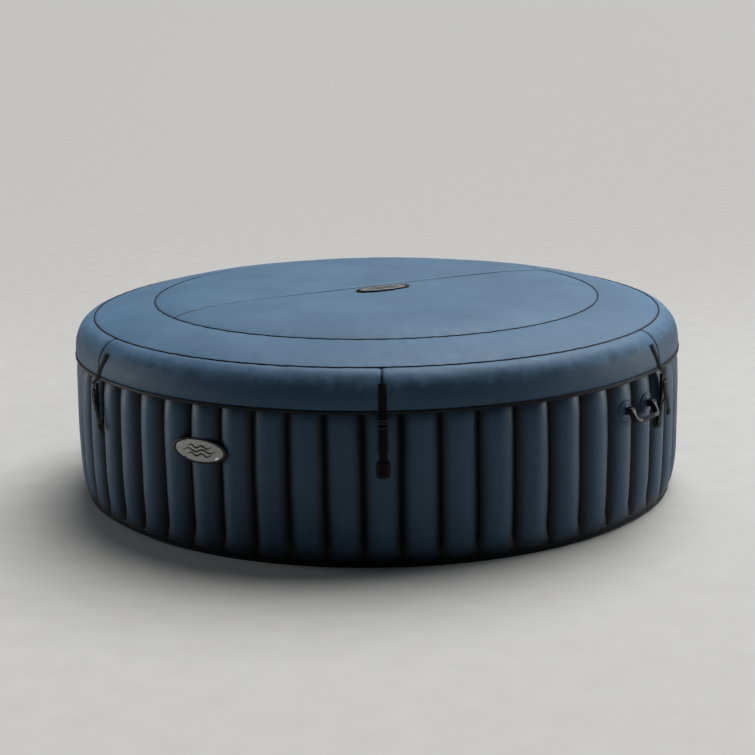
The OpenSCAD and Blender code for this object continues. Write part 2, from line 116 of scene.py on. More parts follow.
def smooth(x):
    x = min(1.0, max(0.0, x))
    return x * x * (3 - 2 * x)


def mix(a, b, t):
    return a + (b - a) * t


def strap_az(n):
    return STRAP_PITCH * n + STRAP_LEAD


def outward(az):
    return Vector((math.sin(math.radians(az)), -math.cos(math.radians(az)), 0))


def across(az):
    return Vector((math.cos(math.radians(az)), math.sin(math.radians(az)), 0))


def polar(az, r, z):
    return outward(az) * r + Vector((0, 0, z))


def azimuth_of(p):
    return math.degrees(math.atan2(p[0], -p[1]))


def catmull(a, b, c, d, t):
    square = (2 * a - 5 * b + 4 * c - d) * t * t
    cube = (3 * b - a - 3 * c + d) * t ** 3
    return 0.5 * (2 * b + (c - a) * t + square + cube)


def curved(points, steps):
    """Points on a smooth curve through the given ones, with this many steps between each two."""
    p = [Vector(q) for q in points]
    p = [p[0] * 2 - p[1], *p, p[-1] * 2 - p[-2]]
    made = [catmull(*p[i:i + 4], j / steps) for i in range(len(p) - 3) for j in range(steps)]
    return made + [p[-2]]


def height_curve(pairs):
    """A smooth function of height through (height, value) pairs."""
    def value(z):
        if z <= pairs[0][0]:
            return pairs[0][1]
        if z >= pairs[-1][0]:
            return pairs[-1][1]
        i = max(n for n in range(len(pairs) - 1) if pairs[n][0] <= z)
        near = [pairs[min(max(n, 0), len(pairs) - 1)] for n in (i - 1, i, i + 1, i + 2)]
        span = near[2][0] - near[1][0]
        lead = (near[2][1] - near[0][1]) / (near[2][0] - near[0][0]) * span
        trail = (near[3][1] - near[1][1]) / (near[3][0] - near[1][0]) * span
        t = (z - near[1][0]) / span
        return ((2 * t ** 3 - 3 * t * t + 1) * near[1][1] + (t ** 3 - 2 * t * t + t) * lead
                + (3 * t * t - 2 * t ** 3) * near[2][1] + (t ** 3 - t * t) * trail)
    return value


def bezier(a, b, c, d, t):
    return a * (1 - t) ** 3 + b * 3 * t * (1 - t) ** 2 + c * 3 * t * t * (1 - t) + d * t ** 3


# ---- Mesh builders ----

def make_piece(name, verts, faces, body, slot, material, replaces=(), outward_faces=True):
    mesh = bpy.data.meshes.new(name)
    mesh.from_pydata([tuple(v) for v in verts], [], faces)
    if outward_faces:
        shape = bmesh.new()
        shape.from_mesh(mesh)
        bmesh.ops.recalc_face_normals(shape, faces=shape.faces)
        shape.to_mesh(mesh)
        shape.free()
    mesh.polygons.foreach_set("use_smooth", [True] * len(mesh.polygons))
    mesh.materials.append(material)
    piece = bpy.data.objects.new(name, mesh)
    bpy.context.scene.collection.objects.link(piece)
    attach(piece, body)
    if replaces:
        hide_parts(*replaces)
    return piece


def grid(rows, columns, point, around=False):
    """Vertices and faces of a net of points, point(row, column). Around joins its ends."""
    verts = [point(i, j) for i in range(rows) for j in range(columns)]
    wide = columns if around else columns - 1
    faces = [
        (i * columns + j, i * columns + (j + 1) % columns,
         (i + 1) * columns + (j + 1) % columns, (i + 1) * columns + j)
        for i in range(rows - 1) for j in range(wide)
    ]
    return verts, faces


def thicken(piece, thickness, inwards=True):
    """Gives a sheet its thickness, with a closed edge."""
    skin = piece.modifiers.new("thickness", "SOLIDIFY")
    skin.thickness = thickness
    skin.offset = -1 if inwards else 1
    return piece


def sweep(path, sides, section, closed=False, slide=None):
    """Carries a closed section of (across, up) points along a path. sides holds its across directions."""
    count, around = len(path), len(section)
    verts = []
    for i, p in enumerate(path):
        before = path[(i - 1) % count] if closed else path[max(i - 1, 0)]
        after = path[(i + 1) % count] if closed else path[min(i + 1, count - 1)]
        along = (after - before).normalized()
        up = along.cross(sides[i]).normalized()
        shape = slide(i, section) if slide else section
        verts += [p + sides[i] * x + up * y for x, y in shape]
    runs = count if closed else count - 1
    faces = [
        (i * around + j, i * around + (j + 1) % around,
         (i + 1) % count * around + (j + 1) % around, (i + 1) % count * around + j)
        for i in range(runs) for j in range(around)
    ]
    if not closed:
        faces += [tuple(range(around))[::-1], tuple(range((count - 1) * around, count * around))]
    return verts, faces


def joined(shapes):
    """Several (vertices, faces) as one."""
    verts, faces = [], []
    for v, f in shapes:
        base = len(verts)
        verts += v
        faces += [tuple(base + n for n in face) for face in f]
    return verts, faces


def rounded(width, height, radius, steps=2):
    """A rectangle with round corners, as (across, up) points."""
    w, h = width / 2 - radius, height / 2 - radius
    made = []
    for turn, (cx, cy) in enumerate([(w, h), (-w, h), (-w, -h), (w, -h)]):
        for n in range(steps + 1):
            a = math.radians(90 * (turn + n / steps))
            made.append((cx + radius * math.cos(a), cy + radius * math.sin(a)))
    return made


def round_section(radius, count=8):
    return [(radius * math.cos(2 * math.pi * n / count), radius * math.sin(2 * math.pi * n / count))
            for n in range(count)]


def stitches(path, ups, length, gap, radius=0.0004):
    """A row of thread stitches along a path, each a small lozenge."""
    shapes = []
    left = gap
    for i in range(len(path) - 1):
        run = path[i + 1] - path[i]
        far = run.length
        if far < 1e-9:
            continue
        along = run / far
        while left < far:
            middle = path[i] + along * left
            up, side = ups[i], along.cross(ups[i])
            verts = [middle - along * length / 2, middle + along * length / 2,
                     middle + side * radius, middle - side * radius,
                     middle + up * radius * 1.5, middle - up * radius]
            faces = [(0, 2, 4), (0, 4, 3), (0, 3, 5), (0, 5, 2), (1, 4, 2), (1, 3, 4), (1, 5, 3), (1, 2, 5)]
            shapes.append((verts, faces))
            left += length + gap
        left -= far
    return joined(shapes)


def soften(piece, width, segments):
    """Rounds a piece's sharp edges."""
    edge = piece.modifiers.new("round edges", "BEVEL")
    edge.width = width
    edge.segments = segments
    edge.limit_method = "ANGLE"
    edge.angle_limit = math.radians(40)
    edge.harden_normals = True


def refined(name, node, material, width=0.0006, segments=2):
    """A copy of a CAD node with whole flat faces and rounded edges, which stands for the node."""
    source = frame["nodes"][node]
    mesh = source.data.copy()
    mesh.name = name
    shape = bmesh.new()
    shape.from_mesh(mesh)
    bmesh.ops.remove_doubles(shape, verts=shape.verts, dist=1e-5)
    bmesh.ops.dissolve_limit(shape, angle_limit=math.radians(1.2), verts=shape.verts, edges=shape.edges)
    shape.to_mesh(mesh)
    shape.free()
    mesh.materials.clear()
    mesh.materials.append(material)
    mesh.polygons.foreach_set("use_smooth", [True] * len(mesh.polygons))
    mesh.set_sharp_from_angle(angle=math.radians(32))
    piece = bpy.data.objects.new(name, mesh)
    bpy.context.scene.collection.objects.link(piece)
    soften(piece, width, segments)
    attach(piece, source["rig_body"])
    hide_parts(node)
    return piece


# ---- Materials ----

def add(tree, kind, inputs=None, **settings):
    """A shader node, with its inputs set to values or linked to sockets."""
    made = tree.nodes.new("ShaderNode" + kind)
    for key, value in settings.items():
        setattr(made, key, value)
    for key, value in (inputs or {}).items():
        if isinstance(value, bpy.types.NodeSocket):
            tree.links.new(value, made.inputs[key])
        else:
            made.inputs[key].default_value = value
    return made


def ramp(tree, value, low, high, to_low=0.0, to_high=1.0):
    made = add(tree, "MapRange", {"Value": value, "From Min": low, "From Max": high,
                                  "To Min": to_low, "To Max": to_high})
    return made.outputs["Result"]


def tint(tree, share, a, b):
    made = add(tree, "Mix", {0: share}, data_type="RGBA")
    for key, value in ((6, a), (7, b)):
        if isinstance(value, bpy.types.NodeSocket):
            tree.links.new(value, made.inputs[key])
        else:
            made.inputs[key].default_value = (*value, 1)
    return made.outputs[2]


def bump(tree, height, strength, distance, normal=None):
    inputs = {"Height": height, "Strength": strength, "Distance": distance}
    if normal:
        inputs["Normal"] = normal
    return add(tree, "Bump", inputs).outputs["Normal"]


def object_space(tree):
    return add(tree, "TexCoord").outputs["Object"]


def around_space(tree, radius):
    """Coordinates that run around the tub, up it and out from it, in metres."""
    axes = add(tree, "SeparateXYZ", {0: object_space(tree)})
    back = add(tree, "Math", {0: axes.outputs[1], 1: -1.0}, operation="MULTIPLY")
    angle = add(tree, "Math", {0: axes.outputs[0], 1: back.outputs[0]}, operation="ARCTAN2")
    arc = add(tree, "Math", {0: angle.outputs[0], 1: radius}, operation="MULTIPLY")
    return arc.outputs[0], axes.outputs[2]


def surface(name, **constants):
    """A new material with its Principled shader. Values that are the same all over are set on the shader."""
    material = bpy.data.materials.new(name)
    material.use_nodes = True
    shader = material.node_tree.nodes["Principled BSDF"]
    for key, value in constants.items():
        shader.inputs[key.replace("_", " ")].default_value = value
    return material, material.node_tree, shader


def connect(tree, shader, colour, roughness, normal):
    tree.links.new(colour, shader.inputs["Base Color"])
    tree.links.new(roughness, shader.inputs["Roughness"])
    tree.links.new(normal, shader.inputs["Normal"])


def vinyl(name, deep, pale, rough=(0.42, 0.56), cloud=2.4, dust=(0.4, 0.42, 0.44), dusty=0.06, weave=0.25,
          side_shade_colour=None, grimed=None, shine=0.25):
    """Laminated vinyl: a clouded colour, a fine woven backing that shows through, soft creases and dust.

    With a side shade colour, faces that look sideways take that colour and those that look up keep the lit one:
    painted shade on the sides and painted light on top.
    With a crease shade colour, the mesh's own painted shade values darken the folds beside its welds to that
    colour."""
    material, tree, shader = surface(name, Specular_IOR_Level=shine, Sheen_Weight=0.02, Sheen_Roughness=0.5)
    space = object_space(tree)
    clouds = add(tree, "TexNoise", {"Vector": space, "Scale": cloud, "Detail": 5.0, "Roughness": 0.6})
    scuffs = add(tree, "TexNoise", {"Vector": space, "Scale": 34.0, "Detail": 6.0, "Roughness": 0.7})
    grain = add(tree, "TexVoronoi", {"Vector": space, "Scale": 620.0})
    folds = add(tree, "TexNoise", {"Vector": space, "Scale": 17.0, "Detail": 3.0, "Distortion": 0.9})
    body = tint(tree, ramp(tree, clouds.outputs[0], 0.34, 0.66), deep, pale)
    up = add(tree, "SeparateXYZ", {0: add(tree, "NewGeometry").outputs["Normal"]}).outputs[2]
    # Painted light and shade: up-facing faces keep the lit colour, sideways faces take the darker side colour,
    # patchy along the folds.
    if side_shade_colour:
        uneven = ramp(tree, folds.outputs[0], 0.3, 0.7, -0.12, 0.12)
        patchy = add(tree, "Math", {0: uneven, 1: up}, operation="ADD")
        top_lit_share = add(tree, "MapRange", {"Value": patchy.outputs[0], "From Min": 0.22, "From Max": 0.98},
                       interpolation_type="SMOOTHSTEP")
        body = tint(tree, top_lit_share.outputs["Result"], side_shade_colour, body)
    # Painted shade in the folds, read from the mesh's own shade values.
    if grimed:
        amount = add(tree, "Attribute", attribute_name="grime").outputs["Fac"]
        body = tint(tree, amount, body, grimed)
    settled = add(tree, "Math", {0: ramp(tree, up, -0.2, 1.0, 0.15, 1.0),
                                 1: ramp(tree, scuffs.outputs[0], 0.45, 0.72, 0.0, dusty)}, operation="MULTIPLY")
    colour = tint(tree, settled.outputs[0], body, dust)
    roughness = ramp(tree, scuffs.outputs[0], 0.3, 0.7, *rough)
    normal = bump(tree, grain.outputs["Distance"], weave, 0.0004)
    normal = bump(tree, folds.outputs[0], 0.16, 0.004, normal)
    connect(tree, shader, colour, roughness, normal)
    return material


def webbing(name, deep, pale):
    """Woven polyester webbing, with ribs along it and rows of weft across."""
    material, tree, shader = surface(name, Specular_IOR_Level=0.1, Sheen_Weight=0.02, Sheen_Roughness=0.5)
    arc, rise = around_space(tree, WALL_R)
    warp = add(tree, "Math", {0: arc, 1: 2 * math.pi / 0.0021}, operation="MULTIPLY")
    weft = add(tree, "Math", {0: rise, 1: 2 * math.pi / 0.0016}, operation="MULTIPLY")
    ribs = add(tree, "Math", {0: warp.outputs[0]}, operation="SINE")
    rows = add(tree, "Math", {0: weft.outputs[0]}, operation="SINE")
    woven = add(tree, "Math", {0: ribs.outputs[0], 1: rows.outputs[0]}, operation="MULTIPLY")
    fuzz = add(tree, "TexNoise", {"Vector": object_space(tree), "Scale": 260.0, "Detail": 3.0})
    colour = tint(tree, ramp(tree, woven.outputs[0], -1.0, 1.0), deep, pale)
    colour = tint(tree, ramp(tree, fuzz.outputs[0], 0.5, 0.8, 0.0, 0.35), colour, pale)
    roughness = ramp(tree, fuzz.outputs[0], 0.3, 0.7, 0.62, 0.82)
    normal = bump(tree, woven.outputs[0], 0.5, 0.0004)
    connect(tree, shader, colour, roughness, normal)
    return material


def moulded(name, deep, pale, rough=(0.34, 0.5), grain=900.0, wear=0.25):
    """Moulded plastic or rubber, with a fine sparked grain, rubbed patches and dust on top."""
    material, tree, shader = surface(name, Specular_IOR_Level=0.26)
    space = object_space(tree)
    sparks = add(tree, "TexNoise", {"Vector": space, "Scale": grain, "Detail": 2.0})
    rubbed = add(tree, "TexNoise", {"Vector": space, "Scale": 55.0, "Detail": 5.0, "Roughness": 0.65})
    up = add(tree, "SeparateXYZ", {0: add(tree, "NewGeometry").outputs["Normal"]}).outputs[2]
    share = add(tree, "Math", {0: ramp(tree, up, -0.3, 1.0, 0.25, 1.0),
                               1: ramp(tree, rubbed.outputs[0], 0.42, 0.7, 0.0, wear)}, operation="MULTIPLY")
    colour = tint(tree, share.outputs[0], deep, pale)
    roughness = ramp(tree, rubbed.outputs[0], 0.3, 0.7, *rough)
    normal = bump(tree, sparks.outputs[0], 0.12, 0.0002)
    normal = bump(tree, rubbed.outputs[0], 0.05, 0.001, normal)
    connect(tree, shader, colour, roughness, normal)
    return material


def badge_face(name):
    """Brushed silver film with a fine speckle."""
    material, tree, shader = surface(name, Specular_IOR_Level=0.5, Metallic=0.25, Coat_Weight=0.35,
                                     Coat_Roughness=0.18)
    space = object_space(tree)
    speckle = add(tree, "TexNoise", {"Vector": space, "Scale": 420.0, "Detail": 3.0})
    patches = add(tree, "TexNoise", {"Vector": space, "Scale": 24.0, "Detail": 4.0})
    colour = tint(tree, ramp(tree, speckle.outputs[0], 0.35, 0.65), (0.25, 0.25, 0.24), (0.36, 0.36, 0.35))
    colour = tint(tree, ramp(tree, patches.outputs[0], 0.4, 0.7, 0.0, 0.2), colour, (0.45, 0.46, 0.46))
    roughness = ramp(tree, patches.outputs[0], 0.3, 0.7, 0.32, 0.46)
    normal = bump(tree, speckle.outputs[0], 0.15, 0.0002)
    connect(tree, shader, colour, roughness, normal)
    return material


# Painted shade: the wall is the same blue vinyl as the cover, drawn darker, and its crease shade colour darkens
# the folds beside the welds.
SHADED_WALL_VINYL = vinyl("wall vinyl", (0.020, 0.049, 0.088), (0.031, 0.069, 0.118), dusty=0.03,
                   grimed=(0.0015, 0.0022, 0.003))
# The cover's side colour is painted shade on faces that look sideways, and its tops carry painted light.
COVER_VINYL = vinyl("cover vinyl", (0.094, 0.196, 0.322), (0.124, 0.242, 0.384), rough=(0.52, 0.66), cloud=3.1,
                    dusty=0.05, side_shade_colour=(0.026, 0.064, 0.110))
LINER_VINYL = vinyl("liner vinyl", (0.60, 0.585, 0.54), (0.68, 0.665, 0.62), rough=(0.35, 0.5),
                    dust=(0.45, 0.44, 0.41))
UNDERSIDE = vinyl("cover underside", (0.34, 0.36, 0.37), (0.42, 0.44, 0.45), rough=(0.3, 0.45))
BLACK_VINYL = vinyl("black vinyl", (0.003, 0.004, 0.006), (0.008, 0.010, 0.013), rough=(0.36, 0.52),
                    dust=(0.05, 0.055, 0.06), shine=0.12)
WEBBING = webbing("black webbing", (0.0015, 0.0015, 0.002), (0.008, 0.008, 0.009))
# The thread is drawn paler than the black binding. Along the hem its pale line stands in for the highlight on
# the binding's rolled top edge: partly thread, partly painted highlight.
THREAD = webbing("thread", (0.010, 0.012, 0.014), (0.045, 0.050, 0.056))
BLACK_PLASTIC = moulded("black plastic", (0.003, 0.0035, 0.004), (0.030, 0.034, 0.038), wear=0.15)
HANDLE_PLASTIC = moulded("handle plastic", (0.006, 0.009, 0.012), (0.05, 0.06, 0.07), rough=(0.36, 0.5),
                          wear=0.2)
# Painted highlight: the ladder's bars are drawn in a paler grey than the black buckles, standing in for the
# glints along them.
GLINT_BAR_PLASTIC = moulded("bar plastic", (0.035, 0.040, 0.045), (0.12, 0.13, 0.14), rough=(0.22, 0.34), wear=0.3)
STRAINER_PLASTIC = moulded("strainer plastic", (0.58, 0.58, 0.56), (0.44, 0.44, 0.42))
RUBBER = moulded("gasket rubber", (0.010, 0.010, 0.010), (0.05, 0.05, 0.05), rough=(0.6, 0.75), grain=500.0)
BADGE_FACE = badge_face("badge face")


# ---- Camera, light and floor ----

CAMERA_PLACE = Vector((0, -6.048, 1.777))
CAMERA_PITCH = math.radians(-13.20)
CAMERA_ROLL = -0.0141
CAMERA_LENS = 80.85
CAMERA_SENSOR = 36


def set_camera():
    data = bpy.data.cameras.new("camera")
    data.sensor_width = CAMERA_SENSOR
    data.lens = CAMERA_LENS
    data.clip_end = 5000
    camera = bpy.data.objects.new("camera", data)
    bpy.context.scene.collection.objects.link(camera)
    ahead = Vector((0, math.cos(CAMERA_PITCH), math.sin(CAMERA_PITCH)))
    right = Vector((1, 0, 0))
    up = right.cross(ahead)
    turned = [right * math.cos(CAMERA_ROLL) + up * math.sin(CAMERA_ROLL),
              up * math.cos(CAMERA_ROLL) - right * math.sin(CAMERA_ROLL), -ahead]
    camera.matrix_world = Matrix.Translation(CAMERA_PLACE) @ Matrix(turned).transposed().to_4x4()
    bpy.context.scene.camera = camera


def light(name, kind, place, aim, energy, colour, **settings):
    data = bpy.data.lights.new(name, kind)
    data.energy = energy
    data.color = colour
    for key, value in settings.items():
        setattr(data, key, value)
    lamp = bpy.data.objects.new(name, data)
    lamp.location = place
    lamp.rotation_mode = "QUATERNION"
    lamp.rotation_quaternion = (Vector(aim) - Vector(place)).to_track_quat("-Z", "Y")
    bpy.context.scene.collection.objects.link(lamp)


def set_lights():
    middle = (0, 0, 0.4)
    light("sky", "SUN", (2.6, 4.8, 8.5), middle, 2.9, (0.98, 0.99, 1.0), angle=math.radians(48))
    light("left side", "AREA", (-4.8, 0.5, 0.55), middle, 55, (0.93, 0.97, 1.0), size=1.3)
    light("right side", "AREA", (4.8, 0.5, 0.9), middle, 75, (0.93, 0.97, 1.0), size=1.6)
    world = bpy.data.worlds.new("world")
    bpy.context.scene.world = world
    world.use_nodes = True
    backdrop = world.node_tree.nodes["Background"]
    backdrop.inputs[0].default_value = (0.88, 0.92, 1.0, 1)
    backdrop.inputs[1].default_value = 0.05
    bpy.context.scene.view_settings.view_transform = "Standard"


def set_floor():
    size = 4000.0
    verts, faces = grid(2, 2, lambda i, j: Vector((size * (j - 0.5), size * (i - 0.5), 0)))
    mesh = bpy.data.meshes.new("floor")
    mesh.from_pydata(verts, [], faces)
    floor = bpy.data.objects.new("floor", mesh)
    bpy.context.scene.collection.objects.link(floor)
    material, tree, shader = surface("pale floor", Roughness=0.85)
    spots = add(tree, "TexNoise", {"Vector": object_space(tree), "Scale": 9.0, "Detail": 6.0})
    colour = tint(tree, ramp(tree, spots.outputs[0], 0.3, 0.7), (0.66, 0.645, 0.615), (0.70, 0.685, 0.655))
    tree.links.new(colour, shader.inputs["Base Color"])
    mesh.materials.append(material)


# ---- Outer wall ----

WALL_PROFILE = [(0.020, 1.0620), (0.030, 1.0675), (0.045, 1.0720), (0.075, 1.0776),
                (0.12, 1.0820), (0.19, 1.0845), (0.28, 1.0850), (0.37, 1.0840), (0.44, 1.0815),
                (0.475, 1.0775), (0.493, 1.0725), (0.507, 1.064)]
wall_crest = height_curve(WALL_PROFILE)
CREASE_DEPTH = 0.031
FLUTE_ROUND = 0.90
WALL_ROWS = 46
FLUTE_COLUMNS = 19


def crease_az(k):
    even = (k - 0.5) * PITCH
    return even + WELD_LEAD - WELD_SWAY * math.cos(math.radians(2 * (even - 15)))


def flute_at(az):
    """The flute that an azimuth lies on, and the place across it from -1 to 1."""
    k = math.floor(az / PITCH)
    while crease_az(k) > az:
        k -= 1
    while crease_az(k + 1) <= az:
        k += 1
    return k, 2 * (az - crease_az(k)) / (crease_az(k + 1) - crease_az(k)) - 1


def flute_inset(t, z):
    """How far the skin lies inside the crest's curve: an arc between two welds, shallower at the foot."""
    low = mix(0.25, 1.0, smooth((z - 0.018) / 0.075))
    high = mix(1.0, 0.45, smooth((z - 0.482) / 0.035))
    depth = CREASE_DEPTH * low * high
    arc = (1 - math.sqrt(1 - (FLUTE_ROUND * t) ** 2)) / (1 - math.sqrt(1 - FLUTE_ROUND ** 2))
    return depth * arc


def wall_r(az, z):
    k, t = flute_at(az)
    low = math.exp(-max(0, z - 0.035) / 0.045)
    high = math.exp(-max(0, 0.49 - z) / 0.05)
    gather = noise(Vector((az * 0.95, z * 9, 1.7 * k)))
    fullness = 0.0012 * noise(Vector((k * 1.37, z * 4.5, 9.1)))
    dents = 0.0009 * noise(Vector((az * 0.3, z * 11, 3.3)))
    return wall_crest(z) - flute_inset(t, z) + gather * (0.0026 * low + 0.0011 * high) + fullness + dents


def weld_line(k, z):
    """A weld's azimuth at a height. It wanders a little."""
    return crease_az(k) + 0.10 * noise(Vector((k * 3.1, z * 7, 0.5))) * smooth(z / 0.06)


def painted_shade_at(t, z):
    """Painted shade, as a share from 0 to 1: darker in the folds beside a weld, low down by the ground and in
    the shade of the hem.
    """
    fold = smooth((abs(t) - 0.40) / 0.56)
    low = 0.75 * smooth((0.085 - z) / 0.07)
    high = 0.45 * smooth((z - 0.455) / 0.035)
    return 1 - (1 - 0.92 * fold) * (1 - low) * (1 - high)


HOLES = []


def cut_holes(piece, holes):
    """Opens the sheet where fittings pass through it. The edge is covered by their flanges."""
    shape = bmesh.new()
    shape.from_mesh(piece.data)
    gone = []
    for face in shape.faces:
        c = face.calc_center_median()
        for centre, radius in holes:
            out = Vector((centre.x, centre.y, 0)).normalized()
            gap = c - centre
            if c.dot(out) > 0 and (gap - out * gap.dot(out)).length < radius:
                gone.append(face)
                break
    bmesh.ops.delete(shape, geom=gone, context="FACES")
    shape.to_mesh(piece.data)
    shape.free()


def build_outer_wall():
    names = ["front", "front_right", "back_right", "back", "back_left", "front_left"]
    for s, name in enumerate(names):
        places = []
        for k in range(9 * s - 4, 9 * s + 5):
            steps = [math.sin(math.pi / 2 * (2 * n / FLUTE_COLUMNS - 1)) for n in range(FLUTE_COLUMNS)]
            places += [(k, t) for t in steps]
        places.append((9 * s + 5, -1.0))

        def point(i, j, places=places):
            k, t = places[j]
            z = mix(WALL_PROFILE[0][0], WALL_PROFILE[-1][0], i / (WALL_ROWS - 1))
            az = mix(weld_line(k, z), weld_line(k + 1, z), (t + 1) / 2)
            plain = mix(crease_az(k), crease_az(k + 1), (t + 1) / 2 * 0.9999)
            return polar(az, wall_r(plain, z), z)

        verts, faces = grid(WALL_ROWS, len(places), point)
        wall = make_piece(f"wall_skin_{name}", verts, faces, "tub", "wall_vinyl", SHADED_WALL_VINYL,
                          ["outer_wall_" + name], outward_faces=False)
        # Painted shade values: darker in the folds beside each weld, by the ground and under the hem.
        grime = wall.data.attributes.new("grime", "FLOAT", "POINT")
        amounts = [painted_shade_at(places[n % len(places)][1], v.z) for n, v in enumerate(verts)]
        grime.data.foreach_set("value", amounts)
        wall.data.set_sharp_from_angle(angle=math.radians(45))
        cut_holes(wall, HOLES)
        thicken(wall, SKIN)


def build_bottom_band():
    """The black band around the foot, gathered a little under each weld, with a welded lip on top."""
    section = [(0.0, 0.0), (-0.004, 0.0006), (-0.0005, 0.006), (0.0012, 0.014), (0.0016, 0.021),
               (0.0026, 0.0235), (0.0030, 0.0262), (0.0016, 0.0282), (-0.006, 0.0290), (-0.016, 0.0270),
               (-0.018, 0.0120), (-0.016, 0.0)]
    columns = FLUTES * 14

    def point(i, j):
        az = 360 * j / columns
        _, t = flute_at(az)
        out, up = section[i % len(section)]
        free = smooth(up / 0.012)
        gather = -0.0022 * abs(t) ** 6 + 0.0012 * noise(Vector((az * 0.8, up * 60, 5.0)))
        rise = max(0.0, up + 0.0008 * free * noise(Vector((az, 0, 2))))
        return polar(az, BAND_R - 0.0028 + out + gather * free, rise)

    verts, faces = grid(len(section) + 1, columns, point, around=True)
    last = len(section) * columns
    faces = [tuple(n - last if n >= last else n for n in face) for face in faces]
    make_piece("foot_band", verts[:last], faces, "tub", "black_vinyl", BLACK_VINYL, ["bottom_band"])


# ---- Inside of the tub ----

def build_inner_wall():
    rows, columns = 26, FLUTES * 10

    def point(i, j):
        az = crease_az(0) + 360 * j / columns
        _, t = flute_at(az)
        z = mix(0.004, RIM_FOOT + 0.004, i / (rows - 1))
        puff = 0.0045 * (1 - t * t) * smooth(z / 0.08) * smooth((RIM_FOOT + 0.01 - z) / 0.08)
        return polar(az, INNER_R + 0.003 - puff + 0.0008 * noise(Vector((az * 0.4, z * 12, 7))), z)

    verts, faces = grid(rows, columns, point, around=True)
    wall = make_piece("inner_wall_skin", verts, faces, "tub", "liner_vinyl", LINER_VINYL, ["inner_wall"],
                      outward_faces=False)
    cut_holes(wall, HOLES)
    thicken(wall, SKIN, inwards=True)


def build_rim():
    """The puffed top of the wall, scalloped where each web pulls it down."""
    rows, columns = 26, FLUTES * 10
    middle, outer = 0.940, 1.0655

    def point(i, j):
        az = crease_az(0) + 360 * j / columns
        _, t = flute_at(az)
        turn = math.pi * i / (rows - 1)
        half = (outer - middle) if turn < math.pi / 2 else (middle - INNER_R - 0.0045)
        pull = 0.007 * abs(t) ** 3 * (1 - math.sin(turn) ** 2 * 0.8)
        if turn < math.pi / 2:
            behind = wall_r(az, RIM_FOOT) - 0.004 - 0.07 * math.sin(turn) + pull - middle
            half = mix(half, behind, smooth(1 - math.sin(turn) * 1.6))
        wave = 0.0016 * noise(Vector((az * 0.22, i * 0.4, 2.2)))
        rise = (RIM_TOP - 0.003 - RIM_FOOT) * math.sin(turn) ** 0.85
        return polar(az, middle + (half - pull) * math.cos(turn), RIM_FOOT + 0.002 + rise - pull * 0.5 + wave)

    verts, faces = grid(rows, columns, point, around=True)
    rim = make_piece("rim_puff", verts, faces, "tub", "liner_vinyl", LINER_VINYL, ["rim_deck"],
                     outward_faces=False)
    thicken(rim, SKIN)


def build_webs():
    """The sheets inside the wall that hold its skins together, one from the inner wall to each crease."""
    rows, columns = 16, 5
    shapes = []
    for k in range(FLUTES):
        def point(i, j, k=k):
            share = i / (rows - 1)
            z = mix(0.006, RIM_FOOT, share)
            inner = INNER_R + 0.0062
            crest = wall_r(crease_az(k) + 1e-6, z) if z > 0.022 else BAND_R - 0.018
            outer = min(crest - 0.0022, 1.035 if z > 0.47 else 2.0)
            bow = 0.003 * noise(Vector((k * 2.3, z * 6, j * 0.6)))
            place = polar(crease_az(k), mix(inner, outer, j / (columns - 1)), z)
            return place + across(crease_az(k)) * bow * math.sin(math.pi * j / (columns - 1))
        shapes.append(grid(rows, columns, point))
    verts, faces = joined(shapes)
    webs = make_piece("web_sheets", verts, faces, "tub", "liner_vinyl", UNDERSIDE, ["wall_webs"],
                      outward_faces=False)
    thicken(webs, 0.0008)


def disc(rows, columns, radius, height):
    """A round net whose height is a function of its place."""
    def point(i, j):
        r = radius * (i + 1) / rows
        az = 360 * j / columns
        p = polar(az, r, 0)
        return Vector((p.x, p.y, height(p.x, p.y, r)))

    verts, faces = grid(rows, columns, point, around=True)
    verts.append(Vector((0, 0, height(0, 0, 0))))
    faces += [(len(verts) - 1, j, (j + 1) % columns) for j in range(columns)]
    return verts, faces


def build_floor_sheet():
    def height(x, y, r):
        soft = smooth((INNER_R - 0.03 - r) / 0.1)
        ridge = max(0.0, noise(Vector((x * 5.5, y * 5.5, 4.0)))) ** 2 * 0.006
        return 0.0012 + soft * (0.0006 + ridge)

    verts, faces = disc(60, 220, BAND_R - 0.016, height)
    sheet = make_piece("floor_sheet", verts, faces, "tub", "liner_vinyl", LINER_VINYL, ["tub_floor"])
    thicken(sheet, 0.001)


# ---- Cover ----

CROWN_RISE = CROWN_TOP - CROWN_Z
SKIRT = [Vector((CREASE_R, CREASE_Z)), Vector((CREASE_R + 0.044, CREASE_Z - 0.007)),
         Vector((HEM_R + 0.001, HEM_TOP + 0.072)), Vector((HEM_R - 0.0035, HEM_TOP + 0.001))]


def pucker(along, away, seed, size=0.0011, run=0.028):
    """Small gathers beside a seam, which die out away from it."""
    return size * math.exp(-away / run) * noise(Vector((along * 30, away * 9, seed)))


def round_seam(az):
    wave = 0.0007 * noise(Vector((az * 0.45, 0, 21)))
    return CROWN_R + wave, CROWN_Z - 0.002 + 0.0012 * noise(Vector((az * 0.5, 0, 22)))


def crease_seam(az):
    wave = 0.0010 * noise(Vector((az * 0.45, 0, 31)))
    return CREASE_R + wave, CREASE_Z - 0.001 + 0.0012 * noise(Vector((az * 0.5, 0, 32)))


def crown_height(r):
    share = min(1.0, r / CROWN_R)
    return CROWN_RISE * (1 - share ** 7) ** 0.85


